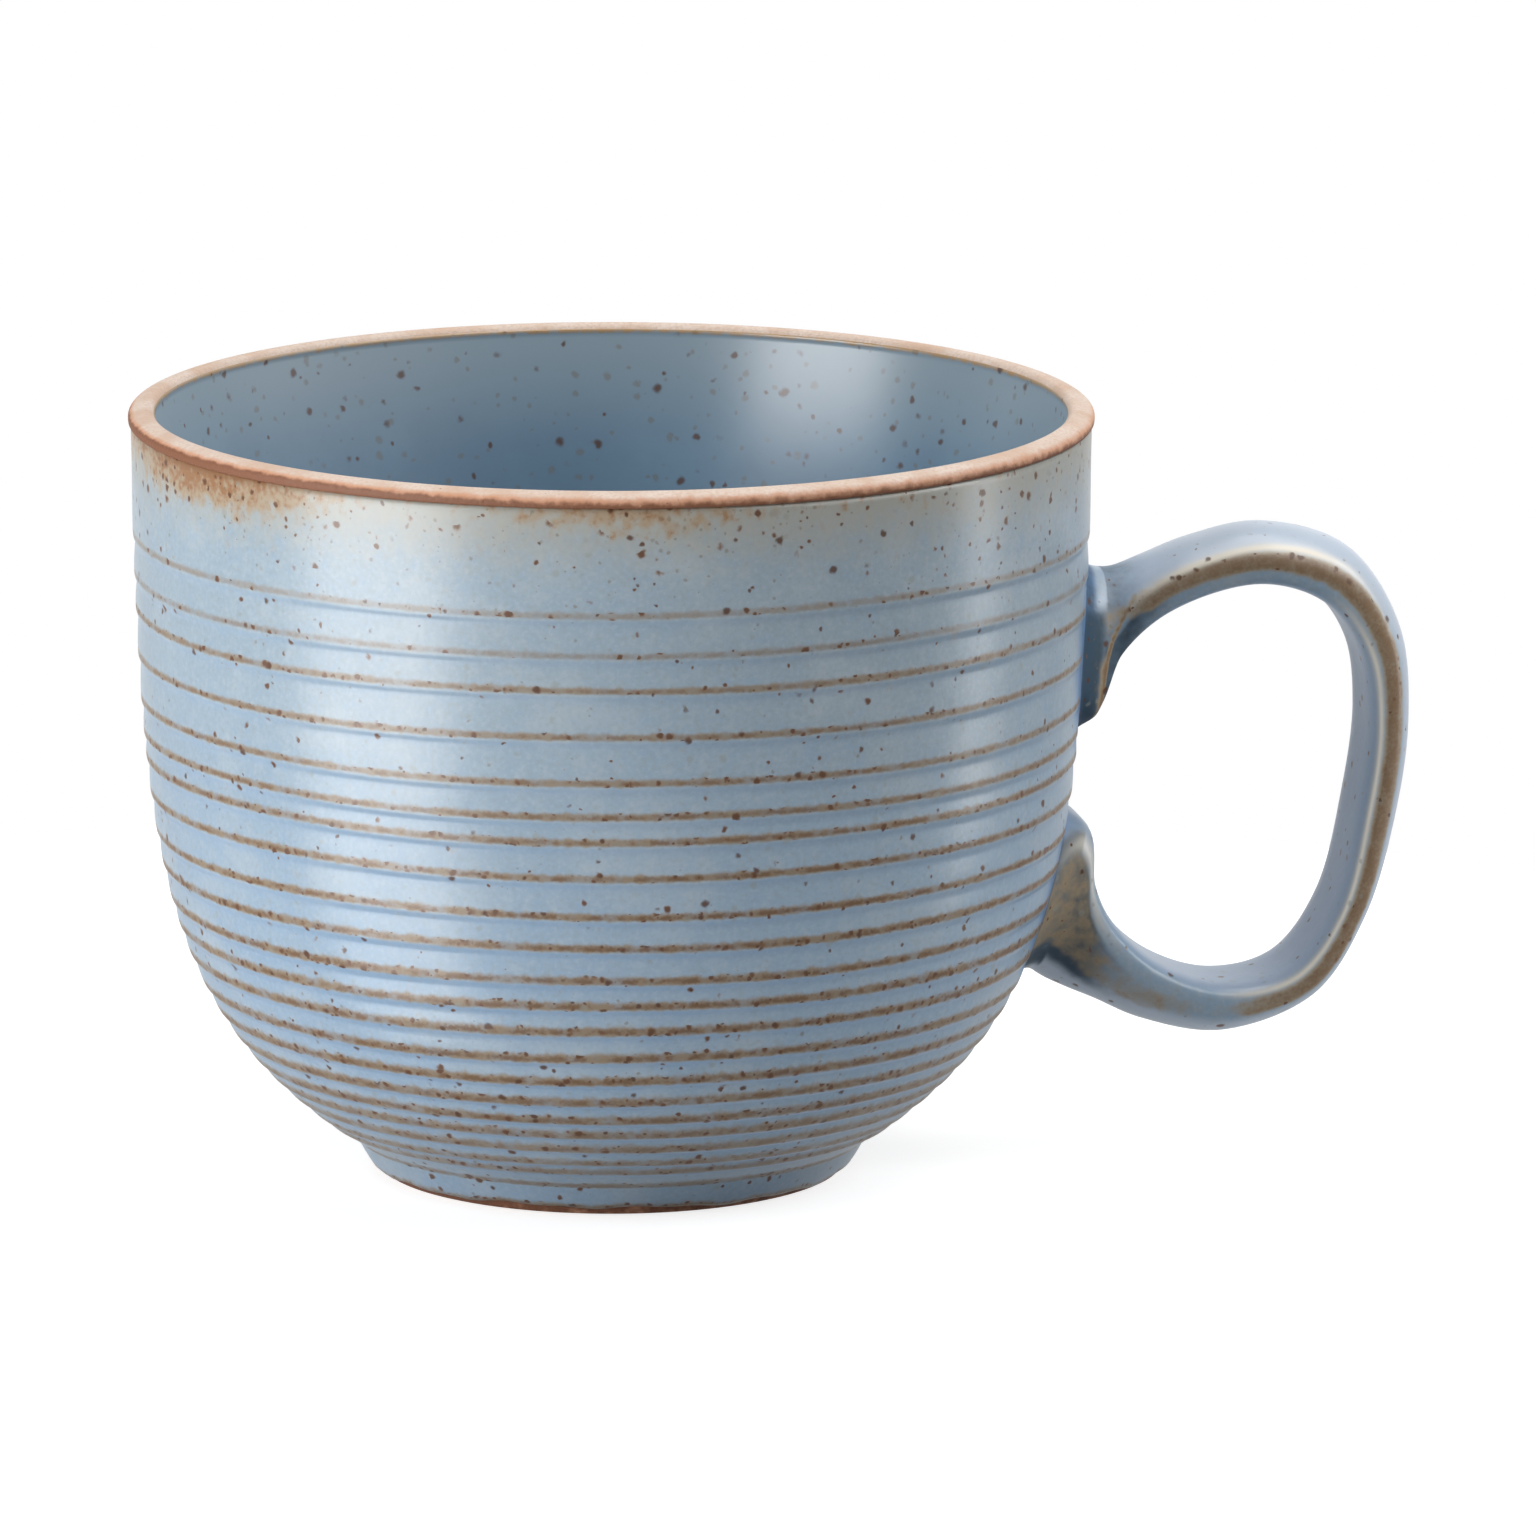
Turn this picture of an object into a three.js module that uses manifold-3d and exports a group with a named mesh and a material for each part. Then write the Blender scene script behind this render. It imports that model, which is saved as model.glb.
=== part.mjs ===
// A stoneware cappuccino cup: a thrown bowl on a turned foot, an oval handle luted on with slip,
// and the glaze coats on the outside, the inside, the handle and the hollow of the foot.
// Millimetres, +Z up. The cup stands on z = 0 with its footprint centred on the origin,
// and the handle points along +X.
import * as THREE from 'three';
import { mergeVertices } from 'three/addons/utils/BufferGeometryUtils.js';
import Module from 'manifold-3d';

// Bowl: overall size and lip
const CUP_HEIGHT = 76.4;
const LIP_RADIUS = 47.5;
const LIP_THICKNESS = 2.6;
const LIP_ROUND = 0.9;
const LIP_CREST = 0.8; // from the inner face of the lip to its highest line
const LIP_BAND = 1.4; // bare clay from the top of the lip down to the outer glaze
const LIP_PROUD = 0.25; // how far the lip stands out from the glazed wall
const LINER_DROP = 1.1; // bare clay from the top of the lip down to the inner glaze

// Bowl: wall, floor and foot
const WALL_LEAN = 1.0; // how far the wall leans in below the lip
const WALL_DROP = 48; // how far the wall runs down before it turns in
const BELLY_RADIUS = 44.9; // pull of the round underside
const BELLY_HEIGHT = 14.3;
const BASE_RADIUS = 20; // where the wall's curve would meet the table
const WALL_THICKNESS = 3.6;
const FLOOR_TOP = 6.5;
const FOOT_RADIUS = 23;
const FOOT_HEIGHT = 3.3;
const FOOT_RING_WIDTH = 3.2;
const FOOT_WELL_DEPTH = 2.0;
const FOOT_WELL_DRAFT = 0.6;

// Throwing rings: each band of wall ends in a small step, and a hand leaves the bands uneven
const BAND_WIDTHS = [
  10.2, 4.0, 3.5, 4.6, 4.5, 3.3, 2.5, 3.6, 3.9, 3.3,
  3.5, 2.8, 2.9, 3.2, 2.9, 2.9, 2.8, 2.5, 2.7, 2.8, 2.1,
];
const RING_RELIEF = 0.3;
const RING_STEP = 0.5;

// Glaze and slip
const GLAZE_THICKNESS = 0.45;
const GLAZE_FOOT_MARGIN = 0.8; // bare clay between the table and the outer glaze
const GLAZE_WELL_MARGIN = 0.6; // bare clay around the glaze in the foot's hollow
const SLIP_THICKNESS = 0.9;
const SLIP_FILLET = 1.2; // how far the slip spreads on the wall around a handle root

// Handle: the roots, and the two edges of its side view
const UPPER_ROOT_DROP = 25.5; // from the top of the lip down to the middle of the root
const ROOT_SPACING = 24; // between the middles of the two roots
const ROOT_HEIGHT = 15.6;
const ROOT_WIDTH = 17;
const ROOT_FLARE_SPAN = 2; // how many points of the edges the widening to a root takes
const HANDLE_WIDTH = 12.8;
// Each point is [reach from the wall, height above the middle of the root]
const UPPER_OUTER_EDGE = [
  [3.7, 7.6], [7.1, 8.7], [12.0, 10.4], [19.2, 11.6], [27.6, 9.0], [32.6, 1.4], [33.6, -7.9],
];
const UPPER_INNER_EDGE = [
  [1.7, -5.5], [3.4, -0.9], [8.4, 3.6], [17.8, 6.2], [24.6, 4.0], [28.2, -0.9], [29.2, -7.7],
];
const LOWER_OUTER_EDGE = [
  [35.6, 6.2], [32.6, -4.0], [27.4, -11.9], [18.0, -15.4],
  [9.8, -13.9], [5.2, -11.8], [2.2, -10.5], [0, -9.4],
];
const LOWER_INNER_EDGE = [
  [31.4, 7.2], [28.8, -3.1], [24.4, -8.8], [18.0, -10.1],
  [11.3, -7.8], [6.5, -3.3], [4.7, 0.9], [4.3, 6.0],
];

// Clearances
const BOND = 0.05; // between a coat and what it covers
const SEAT = 0.3; // between pieces whose curved faces meet
const PLUG_DEPTH = 0.9; // how far the tool that cuts a window reaches past both faces of the glaze

// Fineness of the facets
const LATHE_SEGMENTS = 40;
const WALL_STEPS = 14;
const INSIDE_STEPS = 12;
const LIP_STEPS = 4;
const SECTION_POINTS = 16;
const STATIONS_PER_POINT = 2;
const MID_RING = 0.5; // where the extra ring in the face of a root lies, as a share of its size
const HEIGHT_SEARCH_STEPS = 40;

// Sizes that follow from the ones above
const WALL_TOP = CUP_HEIGHT - LIP_BAND;
const WALL_TOP_RADIUS = LIP_RADIUS - LIP_PROUD;
const LINER_TOP = CUP_HEIGHT - LINER_DROP;
const LINER_TOP_RADIUS = LIP_RADIUS - LIP_THICKNESS;
const WELL_RADIUS = FOOT_RADIUS - FOOT_RING_WIDTH;
const UPPER_ROOT_HEIGHT = CUP_HEIGHT - UPPER_ROOT_DROP;
const LOWER_ROOT_HEIGHT = UPPER_ROOT_HEIGHT - ROOT_SPACING;
const ROOT_LIFT = SEAT + SLIP_THICKNESS + BOND; // from the clay wall to a root's end face

// The glazed outside of the wall without its rings, from the lip down
const wallCurve = new THREE.CubicBezierCurve(
  new THREE.Vector2(WALL_TOP_RADIUS, WALL_TOP),
  new THREE.Vector2(WALL_TOP_RADIUS - WALL_LEAN, WALL_TOP - WALL_DROP),
  new THREE.Vector2(BELLY_RADIUS, BELLY_HEIGHT),
  new THREE.Vector2(BASE_RADIUS, 0),
);

// The glazed inside, from the lip down to the middle of the floor
const insideCurve = new THREE.CubicBezierCurve(
  new THREE.Vector2(LINER_TOP_RADIUS, LINER_TOP),
  new THREE.Vector2(WALL_TOP_RADIUS - WALL_LEAN - WALL_THICKNESS, WALL_TOP - WALL_DROP),
  new THREE.Vector2(BELLY_RADIUS, FLOOR_TOP),
  new THREE.Vector2(0, FLOOR_TOP),
);

// A point at a share of a curve's length, moved outwards across the curve
function besideCurve(curve, share, distance) {
  const point = curve.getPointAt(share);
  const tangent = curve.getTangentAt(share);
  return new THREE.Vector2(point.x - tangent.y * distance, point.y + tangent.x * distance);
}

// The share of the wall's length at which it has come down to a height
function shareAtHeight(height) {
  let above = 0;
  let below = 1;
  for (let step = 0; step < HEIGHT_SEARCH_STEPS; step += 1) {
    const middle = (above + below) / 2;
    if (wallCurve.getPointAt(middle).y > height) {
      above = middle;
    } else {
      below = middle;
    }
  }
  return below;
}

const footShare = shareAtHeight(FOOT_HEIGHT);

// The clay under the outer glaze, from the foot up to the lip, moved outwards by a distance
function clayWall(distance) {
  const points = [];
  for (let step = WALL_STEPS; step >= 0; step -= 1) {
    const share = (footShare * step) / WALL_STEPS;
    points.push(besideCurve(wallCurve, share, distance - GLAZE_THICKNESS));
  }
  points[points.length - 1].y = WALL_TOP;
  return points;
}

// The inside of the cup, from the lip down to the axis, moved outwards into the wall by a distance
function insideWall(distance) {
  const points = [];
  for (let step = 0; step <= INSIDE_STEPS; step += 1) {
    points.push(besideCurve(insideCurve, step / INSIDE_STEPS, distance));
  }
  points[0].y = LINER_TOP;
  points[INSIDE_STEPS].x = 0;
  return points;
}

// Places of the ring steps as lengths down the wall, ending above the foot
function ringPlaces() {
  const places = [];
  let place = 0;
  for (const width of BAND_WIDTHS) {
    place += width;
    places.push(place);
  }
  const lowest = footShare * wallCurve.getLength() - RING_STEP;
  return places.filter((length) => length < lowest);
}

// The ringed face of the outer glaze, from the foot up to the lip
function ringedWall() {
  const length = wallCurve.getLength();
  const points = [besideCurve(wallCurve, 0, 0)];
  for (const place of ringPlaces()) {
    points.push(besideCurve(wallCurve, place / length, RING_RELIEF / 2));
    points.push(besideCurve(wallCurve, (place + RING_STEP) / length, -RING_RELIEF / 2));
  }
  points.push(besideCurve(wallCurve, footShare, 0));
  return points.reverse();
}

// The clay foot's flank at a height, straight from the table up to the wall
function footFlank(height) {
  const [wallEnd] = clayWall(0);
  return THREE.MathUtils.mapLinear(height, 0, wallEnd.y, FOOT_RADIUS, wallEnd.x);
}

function keepBelow(points, height) {
  for (const point of points) {
    point.y = Math.min(point.y, height);
  }
}

function lathe(profile) {
  return new THREE.LatheGeometry(profile, LATHE_SEGMENTS).rotateX(Math.PI / 2);
}

// The round of the lip on one side of its highest line
function lipRound(width, startAngle, endAngle) {
  const crest = LINER_TOP_RADIUS + LIP_CREST;
  const base = CUP_HEIGHT - LIP_ROUND;
  const round = new THREE.EllipseCurve(crest, base, width, LIP_ROUND, startAngle, endAngle);
  return round.getPoints(LIP_STEPS);
}

// The thrown clay: foot ring, wall, bare lip and floor
function bowlGeometry() {
  const outerRound = lipRound(LIP_THICKNESS - LIP_CREST, 0, Math.PI / 2);
  const innerRound = lipRound(LIP_CREST, Math.PI / 2, Math.PI);
  return lathe([
    new THREE.Vector2(0, FOOT_WELL_DEPTH),
    new THREE.Vector2(WELL_RADIUS - FOOT_WELL_DRAFT, FOOT_WELL_DEPTH),
    new THREE.Vector2(WELL_RADIUS, 0),
    new THREE.Vector2(FOOT_RADIUS, 0),
    ...clayWall(0),
    new THREE.Vector2(LIP_RADIUS, WALL_TOP),
    ...outerRound,
    ...innerRound.slice(1),
    new THREE.Vector2(LINER_TOP_RADIUS, LINER_TOP),
    ...insideWall(GLAZE_THICKNESS),
  ]);
}

// The outer coat over wall and foot, still whole where the handle will sit
function outerCoatGeometry() {
  const coat = [
    new THREE.Vector2(footFlank(GLAZE_FOOT_MARGIN) + GLAZE_THICKNESS, GLAZE_FOOT_MARGIN),
    ...ringedWall(),
    ...clayWall(BOND).reverse(),
    new THREE.Vector2(footFlank(GLAZE_FOOT_MARGIN) + BOND, GLAZE_FOOT_MARGIN),
  ];
  keepBelow(coat, WALL_TOP - BOND);
  return lathe([...coat, coat[0]]);
}

// The inner coat, from under the lip to the middle of the floor
function linerGeometry() {
  const coat = [...insideWall(GLAZE_THICKNESS - BOND).reverse(), ...insideWall(0)];
  keepBelow(coat, LINER_TOP - BOND);
  return lathe(coat);
}

// The coat on the flat of the foot's hollow
function baseCoatGeometry() {
  const radius = WELL_RADIUS - FOOT_WELL_DRAFT - GLAZE_WELL_MARGIN;
  const top = FOOT_WELL_DEPTH - BOND;
  return lathe([
    new THREE.Vector2(0, top - GLAZE_THICKNESS),
    new THREE.Vector2(radius, top - GLAZE_THICKNESS),
    new THREE.Vector2(radius, top),
    new THREE.Vector2(0, top),
  ]);
}

// The clay wall's radius at a height, measured on the facets that the bowl has
const wallFacets = clayWall(0);

function clayRadius(height) {
  const above = wallFacets.findIndex((point) => point.y >= height);
  const high = wallFacets[above];
  const low = wallFacets[above - 1];
  return THREE.MathUtils.mapLinear(height, low.y, high.y, low.x, high.x);
}

// A closed mesh through rings of points. A ring of one point is a tip.
function skin(rings) {
  const positions = rings.flat().flatMap((point) => point.toArray());
  const triangles = [];
  let first = 0;
  for (let index = 0; index + 1 < rings.length; index += 1) {
    const next = first + rings[index].length;
    joinRings(rings[index], first, rings[index + 1], next, triangles);
    first = next;
  }
  const geometry = new THREE.BufferGeometry();
  geometry.setAttribute('position', new THREE.Float32BufferAttribute(positions, 3));
  geometry.setIndex(triangles);
  return geometry;
}

// The triangles between two rings, each four-sided patch cut along its shorter diagonal
function joinRings(ring, first, nextRing, next, triangles) {
  for (let index = 0; index < SECTION_POINTS; index += 1) {
    const after = (index + 1) % SECTION_POINTS;
    if (ring.length === 1) {
      triangles.push(first, next + after, next + index);
    } else if (nextRing.length === 1) {
      triangles.push(first + index, first + after, next);
    } else if (ring[index].distanceTo(nextRing[after]) < ring[after].distanceTo(nextRing[index])) {
      triangles.push(first + index, first + after, next + after);
      triangles.push(first + index, next + after, next + index);
    } else {
      triangles.push(first + index, first + after, next + index);
      triangles.push(first + after, next + after, next + index);
    }
  }
}

// An oval of a root's outline laid on the wall: grown on all sides, lifted off the clay, and scaled
function rootRing(rootHeight, grow, lift, scale = 1) {
  const ring = [];
  for (let index = 0; index < SECTION_POINTS; index += 1) {
    const angle = (index / SECTION_POINTS) * 2 * Math.PI;
    const height = rootHeight + Math.cos(angle) * (ROOT_HEIGHT / 2 + grow) * scale;
    const across = -Math.sin(angle) * (ROOT_WIDTH / 2 + grow) * scale;
    const out = Math.sqrt((clayRadius(height) + lift) ** 2 - across ** 2);
    ring.push(new THREE.Vector3(out, across, height));
  }
  return ring;
}

// The same ring counted from its lowest point instead of its highest
function fromBelow(ring) {
  const half = SECTION_POINTS / 2;
  return ring.map((_, index) => ring[(SECTION_POINTS + half - index) % SECTION_POINTS]);
}

function rootTip(rootHeight, lift) {
  return [new THREE.Vector3(clayRadius(rootHeight) + lift, 0, rootHeight)];
}

// One edge of the handle's side view, through its points from the upper root to the lower root
function handleEdge(upperPoints, lowerPoints, side) {
  const upperWall = clayRadius(UPPER_ROOT_HEIGHT) + GLAZE_THICKNESS;
  const lowerWall = clayRadius(LOWER_ROOT_HEIGHT) + GLAZE_THICKNESS;
  const upperEnd = UPPER_ROOT_HEIGHT + (side * ROOT_HEIGHT) / 2;
  const lowerEnd = LOWER_ROOT_HEIGHT - (side * ROOT_HEIGHT) / 2;
  const points = [new THREE.Vector3(clayRadius(upperEnd) + ROOT_LIFT, 0, upperEnd)];
  for (const [reach, rise] of upperPoints) {
    points.push(new THREE.Vector3(upperWall + reach, 0, UPPER_ROOT_HEIGHT + rise));
  }
  for (const [reach, rise] of lowerPoints) {
    points.push(new THREE.Vector3(lowerWall + reach, 0, LOWER_ROOT_HEIGHT + rise));
  }
  points.push(new THREE.Vector3(clayRadius(lowerEnd) + ROOT_LIFT, 0, lowerEnd));
  return new THREE.CatmullRomCurve3(points);
}

const outerEdge = handleEdge(UPPER_OUTER_EDGE, LOWER_OUTER_EDGE, 1);
const innerEdge = handleEdge(UPPER_INNER_EDGE, LOWER_INNER_EDGE, -1);
const handleSpans = UPPER_OUTER_EDGE.length + LOWER_OUTER_EDGE.length + 1;

// Half the handle's width, which flares towards the roots
function handleHalfWidth(share) {
  const fromRoot = Math.min(share, 1 - share) * handleSpans;
  const flare = Math.max(0, 1 - fromRoot / ROOT_FLARE_SPAN) ** 2;
  return THREE.MathUtils.lerp(HANDLE_WIDTH, ROOT_WIDTH, flare) / 2;
}

// An oval section of the handle between its two edges, drawn in on all sides
function handleSection(share, drawnIn) {
  const outer = outerEdge.getPoint(share);
  const inner = innerEdge.getPoint(share);
  const middle = outer.clone().lerp(inner, 0.5);
  const toOuter = outer.sub(middle);
  toOuter.setLength(toOuter.length() - drawnIn);
  const halfWidth = handleHalfWidth(share) - drawnIn;
  const ring = [];
  for (let index = 0; index < SECTION_POINTS; index += 1) {
    const angle = (index / SECTION_POINTS) * 2 * Math.PI;
    const point = middle.clone().addScaledVector(toOuter, Math.cos(angle));
    point.y = -Math.sin(angle) * halfWidth;
    ring.push(point);
  }
  return ring;
}

// All sections from the upper root to the lower root, the end ones laid on the wall
function handleSections(drawnIn) {
  const count = handleSpans * STATIONS_PER_POINT;
  const sections = [];
  for (let index = 1; index < count; index += 1) {
    sections.push(handleSection(index / count, drawnIn));
  }
  const upperEnd = rootRing(UPPER_ROOT_HEIGHT, -drawnIn, ROOT_LIFT);
  const lowerEnd = fromBelow(rootRing(LOWER_ROOT_HEIGHT, -drawnIn, ROOT_LIFT));
  return [upperEnd, ...sections, lowerEnd];
}

// The clay handle inside its coat
function handleGeometry() {
  const drawnIn = GLAZE_THICKNESS + BOND;
  return skin([
    rootTip(UPPER_ROOT_HEIGHT, ROOT_LIFT),
    rootRing(UPPER_ROOT_HEIGHT, -drawnIn, ROOT_LIFT, MID_RING),
    ...handleSections(drawnIn),
    fromBelow(rootRing(LOWER_ROOT_HEIGHT, -drawnIn, ROOT_LIFT, MID_RING)),
    rootTip(LOWER_ROOT_HEIGHT, ROOT_LIFT),
  ]);
}

// The coat round the handle, open at both roots
function handleCoatGeometry() {
  const outside = handleSections(0);
  const against = handleSections(GLAZE_THICKNESS).reverse();
  return skin([...outside, ...against, outside[0]]);
}

// The pad of slip between a root and the wall, spread to a fillet on the wall
function slipGeometry(rootHeight) {
  const top = SEAT + SLIP_THICKNESS;
  return skin([
    rootTip(rootHeight, SEAT),
    rootRing(rootHeight, SLIP_FILLET, SEAT, MID_RING),
    rootRing(rootHeight, SLIP_FILLET, SEAT),
    rootRing(rootHeight, 0, top),
    rootRing(rootHeight, 0, top, MID_RING),
    rootTip(rootHeight, top),
  ]);
}

// A plug that cuts the window for a root out of the outer coat
function windowPlug(rootHeight) {
  const grow = SLIP_FILLET + SEAT;
  const below = -PLUG_DEPTH;
  const above = GLAZE_THICKNESS + PLUG_DEPTH;
  return skin([
    rootTip(rootHeight, below),
    rootRing(rootHeight, grow, below, MID_RING),
    rootRing(rootHeight, grow, below),
    rootRing(rootHeight, grow, above),
    rootRing(rootHeight, grow, above, MID_RING),
    rootTip(rootHeight, above),
  ]);
}

const wasm = await Module();
wasm.setup();

function toSolid(geometry) {
  const bare = geometry.clone();
  bare.deleteAttribute('normal');
  bare.deleteAttribute('uv');
  const welded = mergeVertices(bare);
  return new wasm.Manifold(new wasm.Mesh({
    numProp: 3,
    vertProperties: new Float32Array(welded.attributes.position.array),
    triVerts: new Uint32Array(welded.index.array),
  }));
}

function toGeometry(solid) {
  const mesh = solid.getMesh();
  const geometry = new THREE.BufferGeometry();
  geometry.setAttribute('position', new THREE.Float32BufferAttribute(mesh.vertProperties, 3));
  geometry.setIndex(Array.from(mesh.triVerts));
  return geometry;
}

// The outer coat with a window for each handle root
function outerGlazeGeometry() {
  let coat = toSolid(outerCoatGeometry());
  for (const rootHeight of [UPPER_ROOT_HEIGHT, LOWER_ROOT_HEIGHT]) {
    coat = coat.subtract(toSolid(windowPlug(rootHeight)));
  }
  return toGeometry(coat);
}

function piece(name, geometry, finish) {
  geometry.computeVertexNormals();
  const material = new THREE.MeshStandardMaterial({ ...finish, metalness: 0 });
  const mesh = new THREE.Mesh(geometry, material);
  mesh.name = name;
  return mesh;
}

const CLAY = { color: 0xc79f84, roughness: 0.8 };
const SLIP = { color: 0xa88a72, roughness: 0.7 };
const GLAZE = { color: 0x7d9dbb, roughness: 0.4 };
const LINER = { color: 0x6d8aa0, roughness: 0.35 };

const cup = new THREE.Group();
cup.add(
  piece('bowl', bowlGeometry(), CLAY),
  piece('outer_glaze', outerGlazeGeometry(), GLAZE),
  piece('liner_glaze', linerGeometry(), LINER),
  piece('base_glaze', baseCoatGeometry(), GLAZE),
  piece('handle', handleGeometry(), CLAY),
  piece('handle_glaze', handleCoatGeometry(), GLAZE),
  piece('upper_slip_joint', slipGeometry(UPPER_ROOT_HEIGHT), SLIP),
  piece('lower_slip_joint', slipGeometry(LOWER_ROOT_HEIGHT), SLIP),
);

// The footprint is centred on the origin
const footprint = new THREE.Box3().setFromObject(cup);
cup.position.x = -(footprint.min.x + footprint.max.x) / 2;

export default cup;
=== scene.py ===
"""A stoneware cappuccino cup with throwing rings, a bare clay lip and a speckled blue glaze."""
import math

import bmesh
import bpy
import numpy as np
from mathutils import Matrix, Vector

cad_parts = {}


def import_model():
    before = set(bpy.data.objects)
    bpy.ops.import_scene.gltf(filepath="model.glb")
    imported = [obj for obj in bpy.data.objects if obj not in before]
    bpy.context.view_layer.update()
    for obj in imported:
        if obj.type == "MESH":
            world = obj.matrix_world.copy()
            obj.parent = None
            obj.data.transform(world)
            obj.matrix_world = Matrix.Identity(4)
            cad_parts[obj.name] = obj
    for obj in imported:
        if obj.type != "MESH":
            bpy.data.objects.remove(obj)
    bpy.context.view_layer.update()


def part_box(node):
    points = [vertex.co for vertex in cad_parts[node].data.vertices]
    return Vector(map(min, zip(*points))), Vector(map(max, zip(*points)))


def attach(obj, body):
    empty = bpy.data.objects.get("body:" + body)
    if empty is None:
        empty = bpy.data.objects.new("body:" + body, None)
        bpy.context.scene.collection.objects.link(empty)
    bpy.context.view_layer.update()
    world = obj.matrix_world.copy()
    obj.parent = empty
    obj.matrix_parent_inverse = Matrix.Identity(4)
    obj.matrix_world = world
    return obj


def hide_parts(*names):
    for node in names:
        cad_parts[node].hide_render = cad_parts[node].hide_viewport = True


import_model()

MM = 0.001

# Sizes shared with the CAD model, in millimetres
CUP_HEIGHT = 76.4
LIP_RADIUS = 47.5
LIP_THICKNESS = 2.6
LIP_ROUND = 0.9
LIP_CREST = 0.8
WALL_TOP = 75.0
WALL_POINTS = [(47.25, 75.0), (46.25, 27.0), (44.9, 14.3), (20.0, 0.0)]
INSIDE_POINTS = [(44.9, 75.3), (42.65, 27.0), (44.9, 6.5), (0.0, 6.5)]
FOOT_RADIUS = 23.0
FOOT_HEIGHT = 3.3
WELL_RADIUS = 19.8
WELL_DEPTH = 2.0
BAND_WIDTHS = [
    10.2, 4.0, 3.5, 4.6, 4.5, 3.3, 2.5, 3.6, 3.9, 3.3,
    3.5, 2.8, 2.9, 3.2, 2.9, 2.9, 2.8, 2.5, 2.7, 2.8, 2.1,
]
GLAZE = 0.45
BOND = 0.05
UPPER_ROOT = 50.9
LOWER_ROOT = 26.9
ROOT_HEIGHT = 15.6
ROOT_WIDTH = 17.0
ROOT_LIFT = 0.8
HANDLE_WIDTH = 12.8
UPPER_OUTER = [
    (3.7, 7.6), (7.1, 8.7), (12.0, 10.4), (19.2, 11.6), (27.6, 9.0), (32.6, 1.4), (33.6, -7.9),
]
UPPER_INNER = [
    (1.7, -5.5), (3.4, -0.9), (8.4, 3.6), (17.8, 6.2), (24.6, 4.0), (28.2, -0.9), (29.2, -7.7),
]
LOWER_OUTER = [
    (35.6, 6.2), (32.6, -4.0), (27.4, -11.9), (18.0, -15.4),
    (9.8, -13.9), (5.2, -11.8), (2.2, -10.5), (0.0, -9.4),
]
LOWER_INNER = [
    (31.4, 7.2), (28.8, -3.1), (24.4, -8.8), (18.0, -10.1),
    (11.3, -7.8), (6.5, -3.3), (4.7, 0.9), (4.3, 6.0),
]

# Camera, from the fit of the photograph
VIEW_AZIMUTH = -9.5
VIEW_ELEVATION = 11.73
VIEW_DISTANCE = 1.58
VIEW_HEIGHT = 0.0399
VIEW_LENS = 375.0
VIEW_SHIFT = 0.102

# How fine the meshes are
TURNS = 256
SECTION_POINTS = 96
HANDLE_SECTIONS = 180
FILLET_ROWS = 14

low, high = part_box("bowl")
AXIS_X = (low.x + high.x) / 2


def smooth(value, start, end):
    """A soft step from 0 at start to 1 at end."""
    share = np.clip((value - start) / (end - start), 0.0, 1.0)
    return share * share * (3.0 - 2.0 * share)


# Curves of the wall


def bezier(points, count=3001):
    """Radius, height and length along a cubic Bezier curve."""
    a, b, c, d = np.array(points)
    t = np.linspace(0.0, 1.0, count)[:, None]
    curve = (1 - t) ** 3 * a + 3 * (1 - t) ** 2 * t * b + 3 * (1 - t) * t ** 2 * c + t ** 3 * d
    steps = np.hypot(*np.diff(curve, axis=0).T)
    return curve[:, 0], curve[:, 1], np.concatenate([[0.0], np.cumsum(steps)])


WALL = bezier(WALL_POINTS)
WALL_R, WALL_Z, WALL_S = WALL
INSIDE = bezier(INSIDE_POINTS)
IN_Z, IN_S = INSIDE[1:]
FOOT_S = float(np.interp(-FOOT_HEIGHT, -WALL_Z, WALL_S))


def beside(curve, place, distance):
    """Points at places along a curve, moved outwards across it."""
    radius, height, length = curve
    tangent_r = np.interp(place, length, np.gradient(radius, length))
    tangent_z = np.interp(place, length, np.gradient(height, length))
    r = np.interp(place, length, radius) - tangent_z * distance
    z = np.interp(place, length, height) + tangent_r * distance
    return r, z


def wall_radius(height):
    return np.interp(-np.asarray(height), -WALL_Z, WALL_R)


# Handle: the two edges of its side view and the sections between them


def root_length(steps):
    """The square roots of the lengths of steps, as a column."""
    return np.sqrt(np.linalg.norm(steps, axis=1))[:, None]


def catmull_rom(points, shares):
    """Points on a centripetal Catmull-Rom curve at shares of its spans."""
    points = np.array(points)
    padded = np.vstack([2 * points[0] - points[1], points, 2 * points[-1] - points[-2]])
    place = shares * (len(points) - 1)
    span = np.clip(place.astype(int), 0, len(points) - 2)
    weight = (place - span)[:, None]
    p0, p1, p2, p3 = (padded[span + step] for step in range(4))
    d0, d1, d2 = root_length(p1 - p0), root_length(p2 - p1), root_length(p3 - p2)
    m1 = ((p1 - p0) / d0 - (p2 - p0) / (d0 + d1) + (p2 - p1) / d1) * d1
    m2 = ((p2 - p1) / d1 - (p3 - p1) / (d1 + d2) + (p3 - p2) / d2) * d1
    c2 = -3 * p1 + 3 * p2 - 2 * m1 - m2
    c3 = 2 * p1 - 2 * p2 + m1 + m2
    return p1 + m1 * weight + c2 * weight ** 2 + c3 * weight ** 3


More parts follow.
